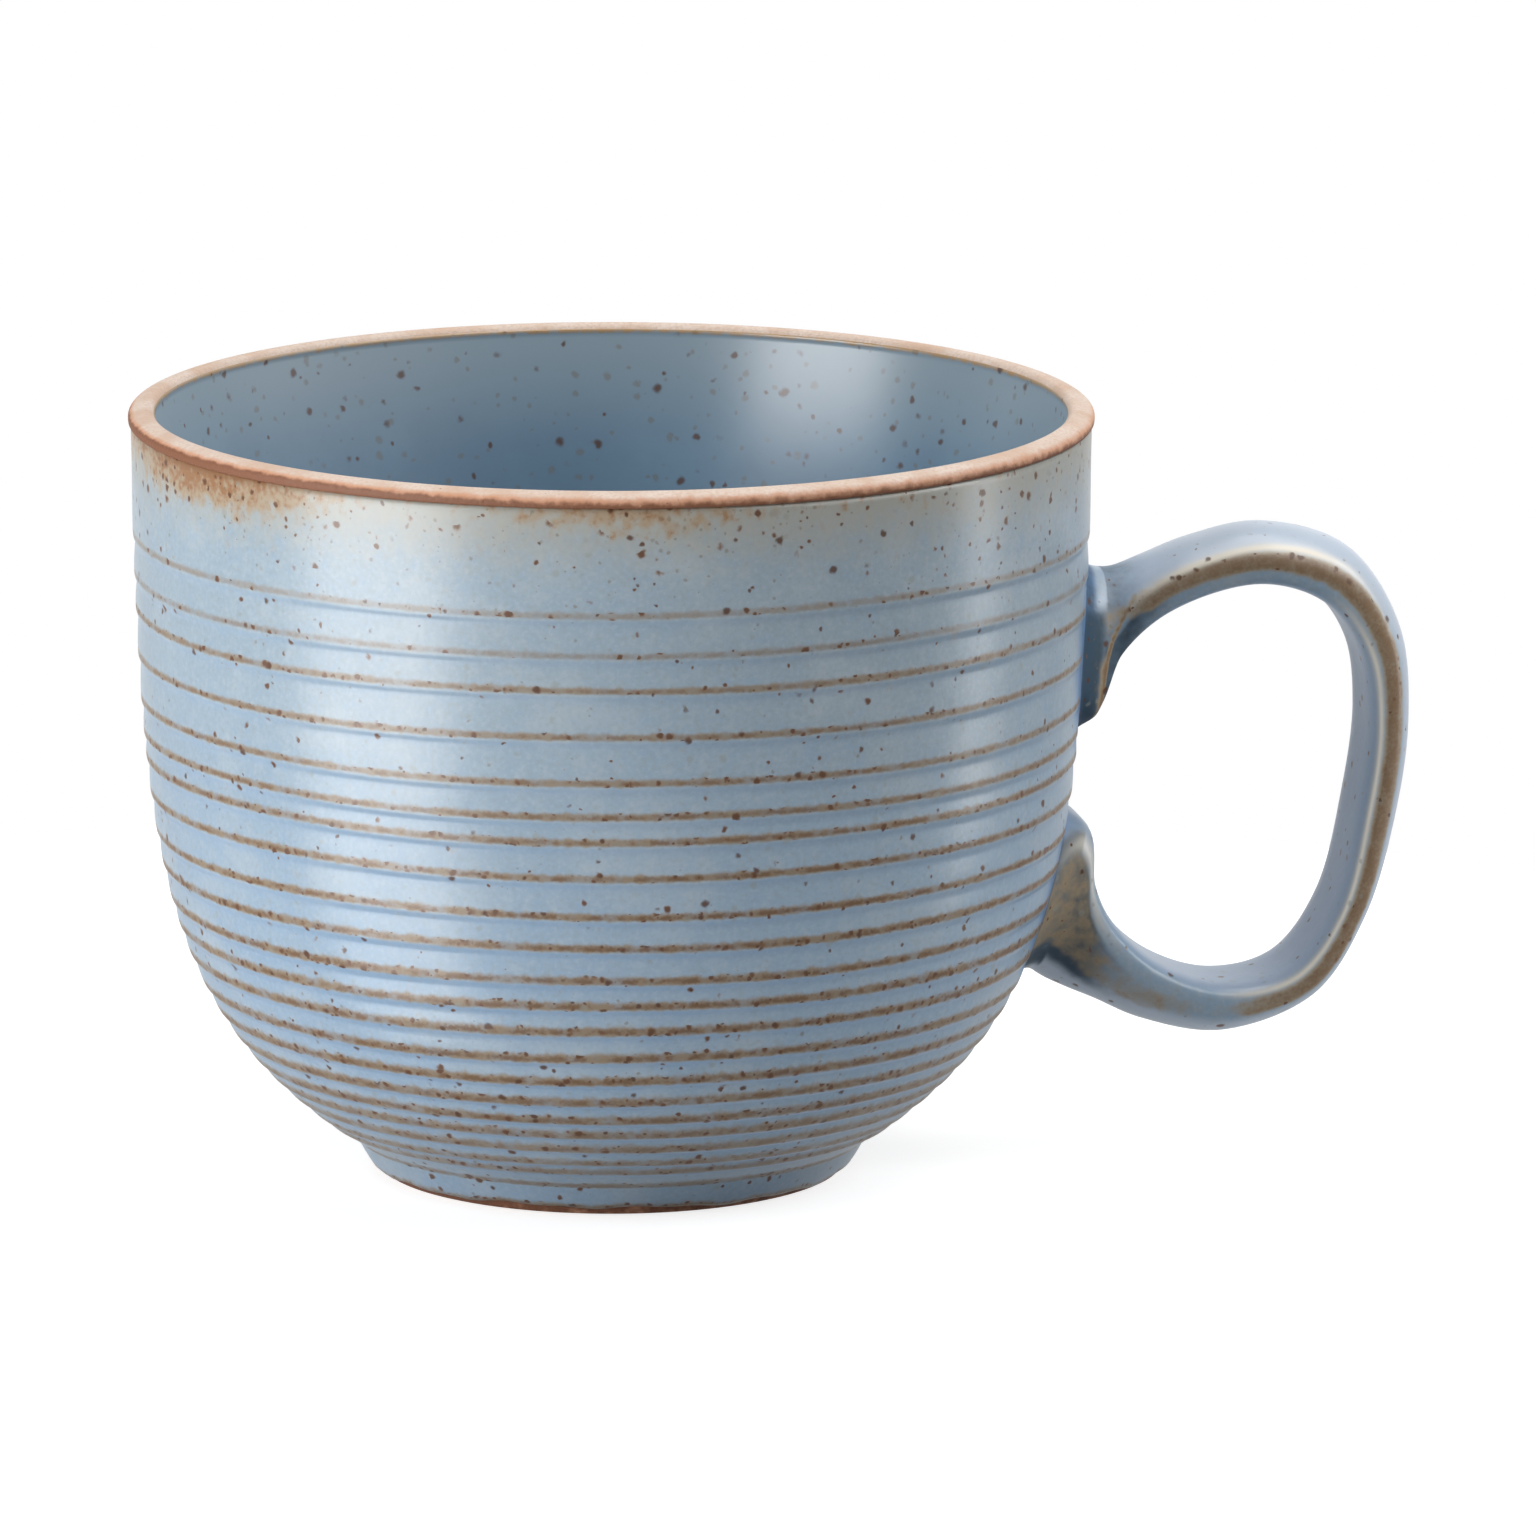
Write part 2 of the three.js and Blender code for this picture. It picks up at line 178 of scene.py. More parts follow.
def edge_points(upper, lower, side):
    """All points of one edge, from the upper root to the lower root."""
    upper_end = UPPER_ROOT + side * ROOT_HEIGHT / 2
    lower_end = LOWER_ROOT - side * ROOT_HEIGHT / 2
    points = [(wall_radius(upper_end) + ROOT_LIFT, upper_end)]
    points += [(wall_radius(UPPER_ROOT) + reach, UPPER_ROOT + rise) for reach, rise in upper]
    points += [(wall_radius(LOWER_ROOT) + reach, LOWER_ROOT + rise) for reach, rise in lower]
    points.append((wall_radius(lower_end) + ROOT_LIFT, lower_end))
    return points


OUTER_EDGE = edge_points(UPPER_OUTER, LOWER_OUTER, 1)
INNER_EDGE = edge_points(UPPER_INNER, LOWER_INNER, -1)
SPANS = len(OUTER_EDGE) - 1
EDGE_DEPTH = -0.35
DOME_SQUARENESS = 2.2
INSIDE_SQUARENESS = 4.0
START_SPAN = 0.6
FLARE_SPANS = 2.0
# Places of the handle's sections, short of the fillets at both roots, also as a column
FIRST_SHARE = START_SPAN / SPANS
SHARES = np.linspace(FIRST_SHARE, 1 - FIRST_SHARE, HANDLE_SECTIONS)
ALONG = SHARES[:, None]
SECTION_ANGLES = np.linspace(0.0, 2 * math.pi, SECTION_POINTS, endpoint=False)


def handle_outline():
    """A section from inner face at -1 to outer face at 1 and across: domed outside, flat inside."""
    cosine = np.cos(SECTION_ANGLES)
    sine = np.sin(SECTION_ANGLES)
    power = np.where(cosine > 0, 2 / DOME_SQUARENESS, 2 / INSIDE_SQUARENESS)
    reach = np.where(cosine > 0, 1 - EDGE_DEPTH, 1 + EDGE_DEPTH)
    depth = EDGE_DEPTH + np.sign(cosine) * np.abs(cosine) ** power * reach
    return depth, np.sign(sine) * np.abs(sine) ** power


SECTION_DEPTH, SECTION_ACROSS = handle_outline()


def handle_sections():
    """Rings of points around the handle."""
    outer = catmull_rom(OUTER_EDGE, SHARES)
    inner = catmull_rom(INNER_EDGE, SHARES)
    middle = (outer + inner) / 2
    half = (outer - inner) / 2
    from_root = np.minimum(ALONG, 1 - ALONG) * SPANS
    flare = np.maximum(0.0, 1 - from_root / FLARE_SPANS) ** 2
    half_width = (HANDLE_WIDTH + (ROOT_WIDTH - HANDLE_WIDTH) * flare) / 2
    x = middle[:, 0:1] + half[:, 0:1] * SECTION_DEPTH
    z = middle[:, 1:2] + half[:, 1:2] * SECTION_DEPTH
    return np.stack([x, -half_width * SECTION_ACROSS, z], axis=2)


# Where the handle's glaze runs out on the wall: middle, reach up, reach down, reach sideways
ROOT_OUTLINES = [
    (UPPER_ROOT, 9.2, 9.0, 11.6),
    (LOWER_ROOT, 9.0, 10.4, 11.6),
]
OUTLINE_SINK = 0.06
FILLET_PULL = 1.1


def outline_ring(outline, side):
    """The ring on the wall where a root's fillet ends, counted as the sections are."""
    middle, up, down, across = outline
    rise = side * np.cos(SECTION_ANGLES)
    height = middle + rise * np.where(rise > 0, up, down)
    y = -np.sin(SECTION_ANGLES) * across
    x = np.sqrt((wall_radius(height) - OUTLINE_SINK) ** 2 - y ** 2)
    return np.stack([x, y, height], axis=1)


def unit(ways):
    return ways / np.linalg.norm(ways, axis=1)[:, None]


def wall_directions(outline, ring):
    """Unit directions along the wall, away from the middle of a root."""
    middle = outline[0]
    away = ring - np.array([0.0, 0.0, middle])
    away[:, 0] = 0.0
    normal = ring * np.array([1.0, 1.0, 0.0])
    lean = np.gradient(WALL_R, WALL_Z)
    normal[:, 2] = -np.interp(-ring[:, 2], -WALL_Z, lean) * np.hypot(ring[:, 0], ring[:, 1])
    normal = unit(normal)
    away -= normal * np.sum(away * normal, axis=1)[:, None]
    return unit(away)


def root_fillet(ring, tangent, outline, side):
    """Rows that carry a handle section over into the wall."""
    end = outline_ring(outline, side)
    out = wall_directions(outline, end)
    span = np.linalg.norm(end - ring, axis=1)[:, None]
    rows = []
    for share in np.linspace(0.0, 1.0, FILLET_ROWS)[1:]:
        h00 = 2 * share ** 3 - 3 * share ** 2 + 1
        h10 = share ** 3 - 2 * share ** 2 + share
        h01 = 3 * share ** 2 - 2 * share ** 3
        h11 = share ** 3 - share ** 2
        pull = FILLET_PULL * span
        rows.append(h00 * ring + h10 * pull * tangent + h01 * end + h11 * pull * out)
    return np.array(rows)


def root_distance(y, z, outline):
    """Distance outside a root's outline on the wall, in millimetres, negative inside it."""
    middle, up, down, across = outline
    rise = z - middle
    reach = np.where(rise > 0, up, down)
    ratio = np.hypot(y / across, rise / reach)
    return (ratio - 1.0) * np.minimum(reach, across)


# Meshes


def add_mesh(name, points, faces, material, attributes=None):
    """A smooth mesh object from points in millimetres about the cup's axis."""
    mesh = bpy.data.meshes.new(name)
    placed = np.asarray(points, dtype=float) * MM + np.array([AXIS_X, 0.0, 0.0])
    mesh.from_pydata(placed.tolist(), [], faces)
    for label, values in (attributes or {}).items():
        layer = mesh.attributes.new(label, "FLOAT", "POINT")
        layer.data.foreach_set("value", np.asarray(values, dtype=np.float32).ravel())
    shape = bmesh.new()
    shape.from_mesh(mesh)
    bmesh.ops.recalc_face_normals(shape, faces=shape.faces)
    shape.to_mesh(mesh)
    shape.free()
    mesh.polygons.foreach_set("use_smooth", [True] * len(mesh.polygons))
    mesh.materials.append(material)
    piece = bpy.data.objects.new(name, mesh)
    bpy.context.scene.collection.objects.link(piece)
    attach(piece, "root")
    return piece


def grid_faces(rows, columns, closed):
    """Quads between rows of points that close on themselves sideways."""
    faces = []
    for row in range(rows if closed else rows - 1):
        above = row * columns
        below = ((row + 1) % rows) * columns
        for column in range(columns):
            after = (column + 1) % columns
            faces.append((above + column, above + after, below + after, below + column))
    return faces


TURN_ANGLES = np.linspace(0.0, 2 * math.pi, TURNS, endpoint=False)


def turned(radius, height):
    """Points of a turned surface, rows by columns, from radii and heights of the same shape."""
    x = radius * np.cos(TURN_ANGLES)
    y = radius * np.sin(TURN_ANGLES)
    return np.stack([x, y, height + 0 * TURN_ANGLES], axis=2)


def view_angle():
    """Each column's angle from the photograph's viewing direction, in degrees, positive to the right."""
    facing = math.radians(VIEW_AZIMUTH - 90.0)
    turn = TURN_ANGLES - facing
    return np.degrees(np.arctan2(np.sin(turn), np.cos(turn)))


def lathe(name, profile, material, attributes):
    """A closed turned piece whose profile starts and ends on the axis."""
    profile = np.array(profile)
    rows = profile[1:-1]
    ends = [[0.0, 0.0, profile[0, 1]], [0.0, 0.0, profile[-1, 1]]]
    points = np.vstack([turned(rows[:, 0:1], rows[:, 1:2]).reshape(-1, 3), ends])
    faces = grid_faces(len(rows), TURNS, closed=False)
    end = len(rows) * TURNS
    last = end - TURNS
    for column in range(TURNS):
        after = (column + 1) % TURNS
        faces.append((end, after, column))
        faces.append((end + 1, last + column, last + after))
    values = {}
    for label, row_values in attributes.items():
        inner = np.repeat(row_values[1:-1], TURNS)
        values[label] = np.append(inner, [row_values[0], row_values[-1]])
    return add_mesh(name, points, faces, material, values)


# Node materials


def srgb(red, green, blue):
    """A colour given as it looks on a screen, 0 to 255, as the linear colour that shaders use."""
    linear = []
    for channel in (red, green, blue):
        share = channel / 255
        linear.append(share / 12.92 if share <= 0.04045 else ((share + 0.055) / 1.055) ** 2.4)
    return (*linear, 1.0)


class Nodes:
    """The node tree of a material or a world, with short ways to add nodes."""

    def __init__(self, owner):
        owner.use_nodes = True
        self.tree = owner.node_tree
        self.coordinates = self.add("ShaderNodeTexCoord").outputs

    def feed(self, socket, value):
        if isinstance(value, bpy.types.NodeSocket):
            self.tree.links.new(value, socket)
        else:
            socket.default_value = value

    def add(self, kind, *values, **settings):
        """A new node with settings, and with values for its first inputs."""
        node = self.tree.nodes.new(kind)
        for key, value in settings.items():
            setattr(node, key, value)
        for socket, value in zip(node.inputs, values):
            self.feed(socket, value)
        return node

    def math(self, operation, *values):
        return self.add("ShaderNodeMath", *values, operation=operation).outputs[0]

    def step(self, value, start, end, low=0.0, high=1.0, kind="SMOOTHSTEP"):
        """A level that runs from low to high while a value runs from start to end."""
        limits = (start, end, low, high)
        return self.add("ShaderNodeMapRange", value, *limits, interpolation_type=kind).outputs[0]

    def along(self, axis):
        """The place on an axis, in metres."""
        return self.add("ShaderNodeSeparateXYZ", self.coordinates["Object"]).outputs[axis]


class Paint(Nodes):
    """The nodes of a material with one shader."""

    def __init__(self, name):
        self.material = bpy.data.materials.new(name)
        super().__init__(self.material)
        self.place = self.coordinates["Object"]

    def mix(self, share, first, second):
        """Two colours mixed by a share. The node's colours are its inputs 6 and 7."""
        node = self.add("ShaderNodeMix", share, data_type="RGBA")
        self.feed(node.inputs[6], first)
        self.feed(node.inputs[7], second)
        return node.outputs[2]

    def wash(self, color, over, value, start, end, strength=1.0):
        """A colour with another over it, more so while a value runs from start to end."""
        return self.mix(self.step(value, start, end, 0.0, strength), color, over)

    def dab(self, color, over, mask, strength):
        """A colour with another over it where a mask is 1."""
        return self.mix(self.math("MULTIPLY", mask, strength), color, over)

    def stirred(self, value, noise, reach):
        """A value moved up and down by noise, by half the reach either way."""
        return self.math("MULTIPLY_ADD", noise, reach, self.math("ADD", value, -reach / 2))

    def mark(self, name):
        """A number stored on the mesh's points."""
        return self.add("ShaderNodeAttribute", attribute_name=name).outputs["Fac"]

    def stretched(self, x, y, z):
        node = self.add("ShaderNodeMapping", self.place)
        node.inputs["Scale"].default_value = (x, y, z)
        return node.outputs[0]

    def noise(self, grain_mm, detail=2.0, place=None, output="Fac"):
        """Cloudy noise from 0 to 1 with grains of a size in millimetres."""
        node = self.add("ShaderNodeTexNoise", place or self.place)
        node.inputs["Scale"].default_value = 1.0 / (grain_mm * MM)
        node.inputs["Detail"].default_value = detail
        return node.outputs[output]

    def shaken(self, grain_mm, reach_mm):
        """The place, moved about by noise of a grain and a reach."""
        way = self.noise(grain_mm, output="Color")
        reach = (reach_mm * MM,) * 3
        return self.add("ShaderNodeVectorMath", way, reach, self.place, operation="MULTIPLY_ADD").outputs[0]

    def specks(self, spacing_mm, smallest_mm, largest_mm, share):
        """Ragged specks of mixed sizes, 1 inside a speck. Only a share of the cells holds one."""
        node = self.add("ShaderNodeTexVoronoi", self.shaken(largest_mm * 1.4, largest_mm), feature="F1")
        node.inputs["Scale"].default_value = 1.0 / (spacing_mm * MM)
        split = self.add("ShaderNodeSeparateColor", node.outputs["Color"])
        size = self.math("POWER", split.outputs[0], 2.0)
        spread = (largest_mm - smallest_mm) / spacing_mm
        radius = self.math("MULTIPLY_ADD", size, spread, smallest_mm / spacing_mm)
        inner = self.math("MULTIPLY", radius, 0.4)
        dot = self.step(node.outputs["Distance"], radius, inner)
        kept = self.math("LESS_THAN", split.outputs[1], share)
        return self.math("MULTIPLY", dot, kept)

    def bump(self, height, strength):
        """Normals of a fine relief, at the scale of a fifth of a millimetre."""
        node = self.add("ShaderNodeBump", strength, 0.2 * MM)
        self.feed(node.inputs["Height"], height)
        return node.outputs[0]

    def result(self, inputs):
        """The material, with inputs for its shader."""
        shader = self.tree.nodes["Principled BSDF"]
        for key, value in inputs.items():
            self.feed(shader.inputs[key], value)
        return self.material


TOP_BLUE = srgb(142, 159, 172)
LOW_BLUE = srgb(139, 161, 181)
PALE_GREY = srgb(167, 177, 183)
# Painted light on the handle's faces turned up to the light
LIT_LAVENDER = srgb(190, 201, 216)
RING_BLUE = srgb(108, 146, 188)
POOL_BLUE = srgb(92, 142, 198)
# Painted shade for the handle's recesses, its flanks under the arches and the wall round the roots, where
# thick glaze also pools
SHADE_TEAL = srgb(50, 68, 82)
GREY_BEIGE = srgb(158, 156, 146)
TAN = srgb(140, 119, 88)
LINE_BROWN = srgb(106, 76, 50)
BLUSH_TAN = srgb(158, 138, 112)
BLUSH_BROWN = srgb(138, 98, 66)
# Painted highlight along the handle's corners
HIGHLIGHT_CREAM = srgb(232, 224, 208)
EDGE_TAN = srgb(158, 142, 116)
EDGE_BROWN = srgb(126, 100, 74)
IRON = srgb(84, 54, 38)
RUST = srgb(134, 98, 70)
OLIVE = srgb(116, 106, 84)
SMUDGE = srgb(138, 142, 134)
GLAZE_IOR = 1.64
GLAZE_ROUGH = 0.28
THIN_ROUGH = 0.34
MOTTLE_ROUGH = 0.04


def glaze_body(paint, mottle):
    """Blue that is greyer under the lip, brighter below each ring and strongest round the roots where it
    pools, with painted light on the handle's upward faces and painted shade by the roots and under the
    arches.
    """
    clouds = paint.noise(8.0, 3.0)
    color = paint.mix(paint.mark("low"), TOP_BLUE, LOW_BLUE)
    color = paint.wash(color, PALE_GREY, clouds, 0.45, 0.75, 0.45)
    color = paint.wash(color, PALE_GREY, mottle, 0.5, 0.75, 0.3)
    color = paint.wash(color, RING_BLUE, mottle, 0.48, 0.25, 0.15)
    speckle = paint.noise(0.5, 3.0)
    color = paint.wash(color, PALE_GREY, speckle, 0.5, 0.7, 0.3)
    color = paint.wash(color, SMUDGE, speckle, 0.5, 0.3, 0.25)
    # Painted light: lavender on the handle's dome and on the inner face of its lower arch
    color = paint.mix(paint.mark("painted_light"), color, LIT_LAVENDER)
    color = paint.wash(color, RING_BLUE, paint.stirred(paint.mark("under"), mottle, 0.4), 0.2, 1.6, 0.75)
    color = paint.wash(color, POOL_BLUE, paint.mark("pool"), 0.2, 0.9, 0.85)
    # Painted shade: dark teal by the roots and under the handle's arches, deepened where thick glaze pools
    return paint.wash(color, SHADE_TEAL, paint.stirred(paint.mark("painted_shade"), mottle, 0.4), 0.1, 0.9, 0.95)


def lip_burn(paint, color, mottle):
    """Grey-beige under the lip, and brown runs where the lip's iron has bled into the glaze."""
    near = paint.math("MULTIPLY_ADD", mottle, 0.35, paint.mark("rim"))
    color = paint.wash(color, GREY_BEIGE, near, 0.65, 1.2, 0.85)
    ragged = paint.noise(1.3, 5.0, paint.stretched(1.0, 1.0, 0.8))
    runs = paint.stirred(paint.mark("blush"), ragged, 1.1)
    color = paint.wash(color, BLUSH_TAN, runs, 0.15, 0.5, 0.85)
    burnt = paint.stirred(runs, paint.noise(0.6, 3.0), 1.4)
    return paint.wash(color, BLUSH_BROWN, burnt, 0.35, 0.95, 0.9)


def ring_lines(paint, color, mottle, grain):
    """A soft tan line with a broken brown core along the crest of each ring. Also gives the line."""
    line = paint.mark("line")
    iron = paint.mark("iron")
    wisps = paint.noise(0.9, 3.0, paint.stretched(1.0, 1.0, 0.4))
    lifted = paint.stirred(line, wisps, 0.7)
    patchy = paint.math("MULTIPLY", iron, paint.step(paint.noise(3.0, 2.0), 0.3, 0.55, 0.6, 1.0))
    haze = paint.math("MULTIPLY", paint.step(lifted, 0.3, 0.78), patchy)
    color = paint.dab(color, TAN, haze, 0.85)
    core = paint.step(paint.stirred(line, grain, 0.5), 0.5, 0.95)
    broken = paint.math("MULTIPLY", core, paint.step(mottle, 0.35, 0.6, 0.15, 0.9))
    return paint.dab(color, LINE_BROWN, broken, paint.mark("dark")), haze


def worn_edges_and_highlights(paint, color, mottle, grain):
    """Tan and brown along the handle's edges, where the glaze runs thin, with painted highlight lines in
    cream on its corners. Also gives the wear.
    """
    worn = paint.stirred(paint.mark("edge"), mottle, 0.6)
    color = paint.wash(color, EDGE_TAN, worn, 0.15, 0.65, 0.9)
    color = paint.wash(color, EDGE_BROWN, paint.stirred(worn, grain, 0.5), 0.4, 1.0, 0.95)
    # Painted highlight: cream lines on the handle's corners
    color = paint.mix(paint.mark("painted_highlight"), color, HIGHLIGHT_CREAM)
    return color, paint.step(worn, 0.2, 0.7)


def iron_specks(paint, color, crowd):
    """Smudges and olive dots, rusty specks where the glaze is thin, and dark specks. Also gives these."""
    rim = paint.mark("rim")
    soft = paint.specks(1.6, 0.2, 0.6, paint.step(rim, 0.0, 1.0, 0.25, 0.5))
    color = paint.dab(color, SMUDGE, soft, 0.45)
    fine = paint.specks(0.8, 0.08, 0.3, paint.step(rim, 0.0, 1.0, 0.08, 0.55))
    color = paint.dab(color, OLIVE, fine, 0.55)
    rusty = paint.specks(0.95, 0.2, 0.6, paint.step(crowd, 0.1, 0.7, 0.06, 0.95))
    color = paint.dab(color, RUST, rusty, 0.8)
    color = paint.dab(color, IRON, paint.math("POWER", rusty, 2.0), 0.8)
    dark = paint.specks(1.8, 0.24, 0.56, paint.step(crowd, 0.1, 0.7, 0.28, 0.75))
    return paint.dab(color, IRON, dark, 0.9), dark


def glaze_paint():
    """The outer glaze: blue where it lies thick, tan and brown where it thins, with iron specks."""
    paint = Paint("blue_glaze")
    mottle = paint.noise(1.3, 3.0)
    grain = paint.noise(0.35, 2.0)
    color = glaze_body(paint, mottle)
    color = lip_burn(paint, color, mottle)
    color, haze = ring_lines(paint, color, mottle, grain)
    color, worn = worn_edges_and_highlights(paint, color, mottle, grain)
    thin = paint.math("MAXIMUM", haze, worn)
    crowd = paint.math("MAXIMUM", haze, paint.math("MULTIPLY", worn, 0.4))
    crowd = paint.math("MAXIMUM", crowd, paint.math("MULTIPLY", paint.mark("rim"), 0.36))
    color, dark = iron_specks(paint, color, crowd)
    # Where shade is painted, the glaze is also rougher and reflects less
    painted_shade = paint.mark("painted_shade")
    rough = paint.step(thin, 0.0, 1.0, GLAZE_ROUGH, THIN_ROUGH)
    rough = paint.math("MULTIPLY_ADD", painted_shade, 0.3, rough)
    return paint.result({
        "Base Color": color,
        "Roughness": paint.math("MULTIPLY_ADD", mottle, MOTTLE_ROUGH, rough),
        "Specular IOR Level": paint.step(painted_shade, 0.25, 0.8, 0.5, 0.1),
        "IOR": GLAZE_IOR,
        "Normal": paint.bump(paint.math("MULTIPLY_ADD", dark, -0.6, mottle), 0.12),
    })


LINER_IOR = 1.8
LINER_ROUGH = 0.28
LINER_ROUGH_LEFT = 0.5
LINER_BLUE = srgb(108, 136, 158)
LINER_PALE = srgb(116, 145, 166)
# Painted light: the liner's paler grey near the rim, where the inside is less shaded
LINER_LIT_GREY = srgb(136, 154, 166)
OCHRE = srgb(168, 134, 92)


def liner_paint():
    """The inner glaze: an even grey-blue, made paler near the rim by painted light, with sparse specks and
    an ochre line under the lip.
    """
    paint = Paint("liner_glaze")
    clouds = paint.noise(11.0, 3.0)
    mottle = paint.noise(1.1, 3.0)
    color = paint.wash(LINER_BLUE, LINER_PALE, clouds, 0.35, 0.7)
    color = paint.wash(color, LINER_BLUE, mottle, 0.4, 0.8, 0.25)
    # Painted light: paler grey near the rim
    color = paint.mix(paint.mark("high"), color, LINER_LIT_GREY)
    color = paint.wash(color, OCHRE, paint.stirred(paint.mark("rim"), mottle, 0.6), 0.55, 0.95)
    faint = paint.specks(1.5, 0.25, 0.6, 0.7)
    dark = paint.specks(2.0, 0.32, 0.7, 0.7)
    color = paint.dab(color, OLIVE, faint, 0.5)
    color = paint.dab(color, IRON, dark, 0.9)
    satin = paint.step(paint.along("X"), AXIS_X - 0.025, AXIS_X + 0.005, LINER_ROUGH_LEFT, LINER_ROUGH)
    return paint.result({
        "Base Color": color,
        "Roughness": paint.math("MULTIPLY_ADD", mottle, MOTTLE_ROUGH, satin),
        "IOR": LINER_IOR,
        "Normal": paint.bump(mottle, 0.04),
    })


CLAY_PEACH = srgb(214, 197, 184)
CLAY_WARM = srgb(200, 170, 148)
CLAY_ORANGE = srgb(196, 138, 102)
CLAY_TOAST = srgb(116, 72, 48)


def clay_paint():
    """Bare fired stoneware: peach with a fine grain, toasted where it meets the glaze."""
    paint = Paint("stoneware")
    clouds = paint.noise(5.0, 3.0)
    grain = paint.noise(0.35, 3.0)
    left = paint.step(paint.along("X"), AXIS_X, AXIS_X - LIP_RADIUS * MM, 1.0, 1.7)
    toast = paint.math("MULTIPLY", paint.mark("toast"), left)
    color = paint.wash(CLAY_PEACH, CLAY_WARM, clouds, 0.35, 0.75)
    color = paint.wash(color, CLAY_WARM, grain, 0.4, 0.7, 0.6)
    uneven = paint.stirred(toast, paint.noise(1.2, 4.0), 0.7)
    color = paint.wash(color, CLAY_ORANGE, uneven, 0.1, 0.7, 0.8)
    color = paint.wash(color, CLAY_TOAST, uneven, 0.6, 1.0, 0.95)
    color = paint.dab(color, IRON, paint.specks(1.4, 0.05, 0.2, 0.3), 0.6)
    return paint.result({
        "Base Color": color,
        "Roughness": paint.math("MULTIPLY_ADD", grain, 0.2, 0.5),
        "Normal": paint.bump(grain, 0.5),
    })


# Pieces


def lip_round():
    """Radius, height and toasting over the top of the lip, from its outer to its inner face."""
    crest = LIP_RADIUS - LIP_THICKNESS + LIP_CREST
    base = CUP_HEIGHT - LIP_ROUND
    rows = []
    for angle in np.linspace(0.0, math.pi, 29):
        width = LIP_THICKNESS - LIP_CREST if angle < math.pi / 2 else LIP_CREST
        toast = float(np.interp(angle, [0.0, 0.4, 0.9, 2.4, math.pi], [0.75, 0.5, 0.05, -0.1, 0.3]))
        rows.append((crest + math.cos(angle) * width, base + math.sin(angle) * LIP_ROUND, toast))
    return rows


def foot_ring():
    """Radius, height and toasting from the middle of the hollow to the outside of the foot ring."""
    return [
        (0.0, WELL_DEPTH, 0.3),
        (WELL_RADIUS - 0.9, WELL_DEPTH, 0.3),
        (WELL_RADIUS - 0.6, WELL_DEPTH - 0.1, 0.3),
        (WELL_RADIUS - 0.1, 0.5, 0.5),
        (WELL_RADIUS + 0.1, 0.12, 0.7),
        (WELL_RADIUS + 0.4, 0.0, 0.5),
        (FOOT_RADIUS - 0.5, 0.0, 0.5),
        (FOOT_RADIUS - 0.12, 0.12, 0.8),
        (FOOT_RADIUS + 0.06, 0.4, 0.9),
    ]


def lip_shoulder():
    """Radius, height and toasting from the edge of the outer glaze up to the lip's outer face."""
    return [
        (LIP_RADIUS - 0.32, WALL_TOP - 0.06, 1.0),
        (LIP_RADIUS - 0.1, WALL_TOP - 0.02, 1.0),
        (LIP_RADIUS - 0.02, WALL_TOP + 0.1, 1.0),
        (LIP_RADIUS, WALL_TOP + 0.3, 0.85),
    ]


def clay_body(material):
    """The thrown body: foot ring, wall under the glaze, bare lip and floor."""
    wall_r, wall_z = beside(WALL, np.linspace(FOOT_S, 0.0, 40), -GLAZE)
    in_r, in_z = beside(INSIDE, np.linspace(0.0, IN_S[-1], 60), GLAZE)
    rows = foot_ring()
    rows += [(r, min(z, WALL_TOP - 0.12), 1.0) for r, z in zip(wall_r, wall_z)]
    rows += lip_shoulder() + lip_round()
    rows.append((LIP_RADIUS - LIP_THICKNESS, IN_Z[0], 0.6))
    rows += [(r, min(z, IN_Z[0] - 0.1), 0.6) for r, z in zip(in_r[:-1], in_z[:-1])]
    rows.append((0.0, in_z[-1], 0.6))
    profile = np.array(rows)
    return lathe("clay_body", profile[:, :2], material, {"toast": profile[:, 2]})


# Rings: the glaze softens the step below each crest, and thins to a tan line on the crest
FACE_RELIEF = 0.22
FACE_STEP = 0.9
CREST_DROP = 0.7
LINE_CORE = 0.3
LINE_ABOVE = 1.0
LINE_BELOW = 0.7
UNDER_START = 0.3
UNDER_REACH = 1.8
RINGS = np.cumsum(BAND_WIDTHS) + CREST_DROP
RINGS = RINGS[RINGS < FOOT_S - 2 * FACE_STEP]
LINES = np.arange(len(RINGS) + 1)
LINE_IRON = np.interp(LINES, [0, 1, 2, 4, 8, 14, 19, 20], [0.55, 0.45, 0.85, 0.9, 1.0, 1.0, 0.85, 0.8])
LINE_DARK = np.interp(LINES, [0, 2, 8, 14, 20], [0.3, 0.6, 0.95, 0.9, 0.45])
LINE_SPREAD = np.interp(LINES, [0, 4, 8, 13, 18, 20], [0.85, 0.9, 1.0, 1.35, 1.85, 1.4])
LINE_BLUE = np.interp(LINES, [0, 6, 14, 20], [0.7, 0.8, 1.0, 1.2])
ROWS_ABOVE = np.array([1.8, 1.2, 0.8, 0.55, 0.42, 0.3, 0.2, 0.1, 0.0])
ROWS_BELOW = np.array([0.12, 0.25, 0.4, 0.55, 0.7, 0.9, 1.2, 1.6])


def wall_places():
    """Lengths down the glazed wall for the rows of the mesh, close together at each ring."""
    places = [np.linspace(0.0, RINGS[0] - 2.4, 10), RINGS[0] - ROWS_ABOVE]
    for start, end in zip(RINGS, np.append(RINGS[1:], FOOT_S)):
        middle = (start + end) / 2
        after = start + ROWS_BELOW
        before = end - ROWS_ABOVE
        places.append(after[after < middle])
        places.append(before[before >= middle + 0.05])
    return np.concatenate(places)


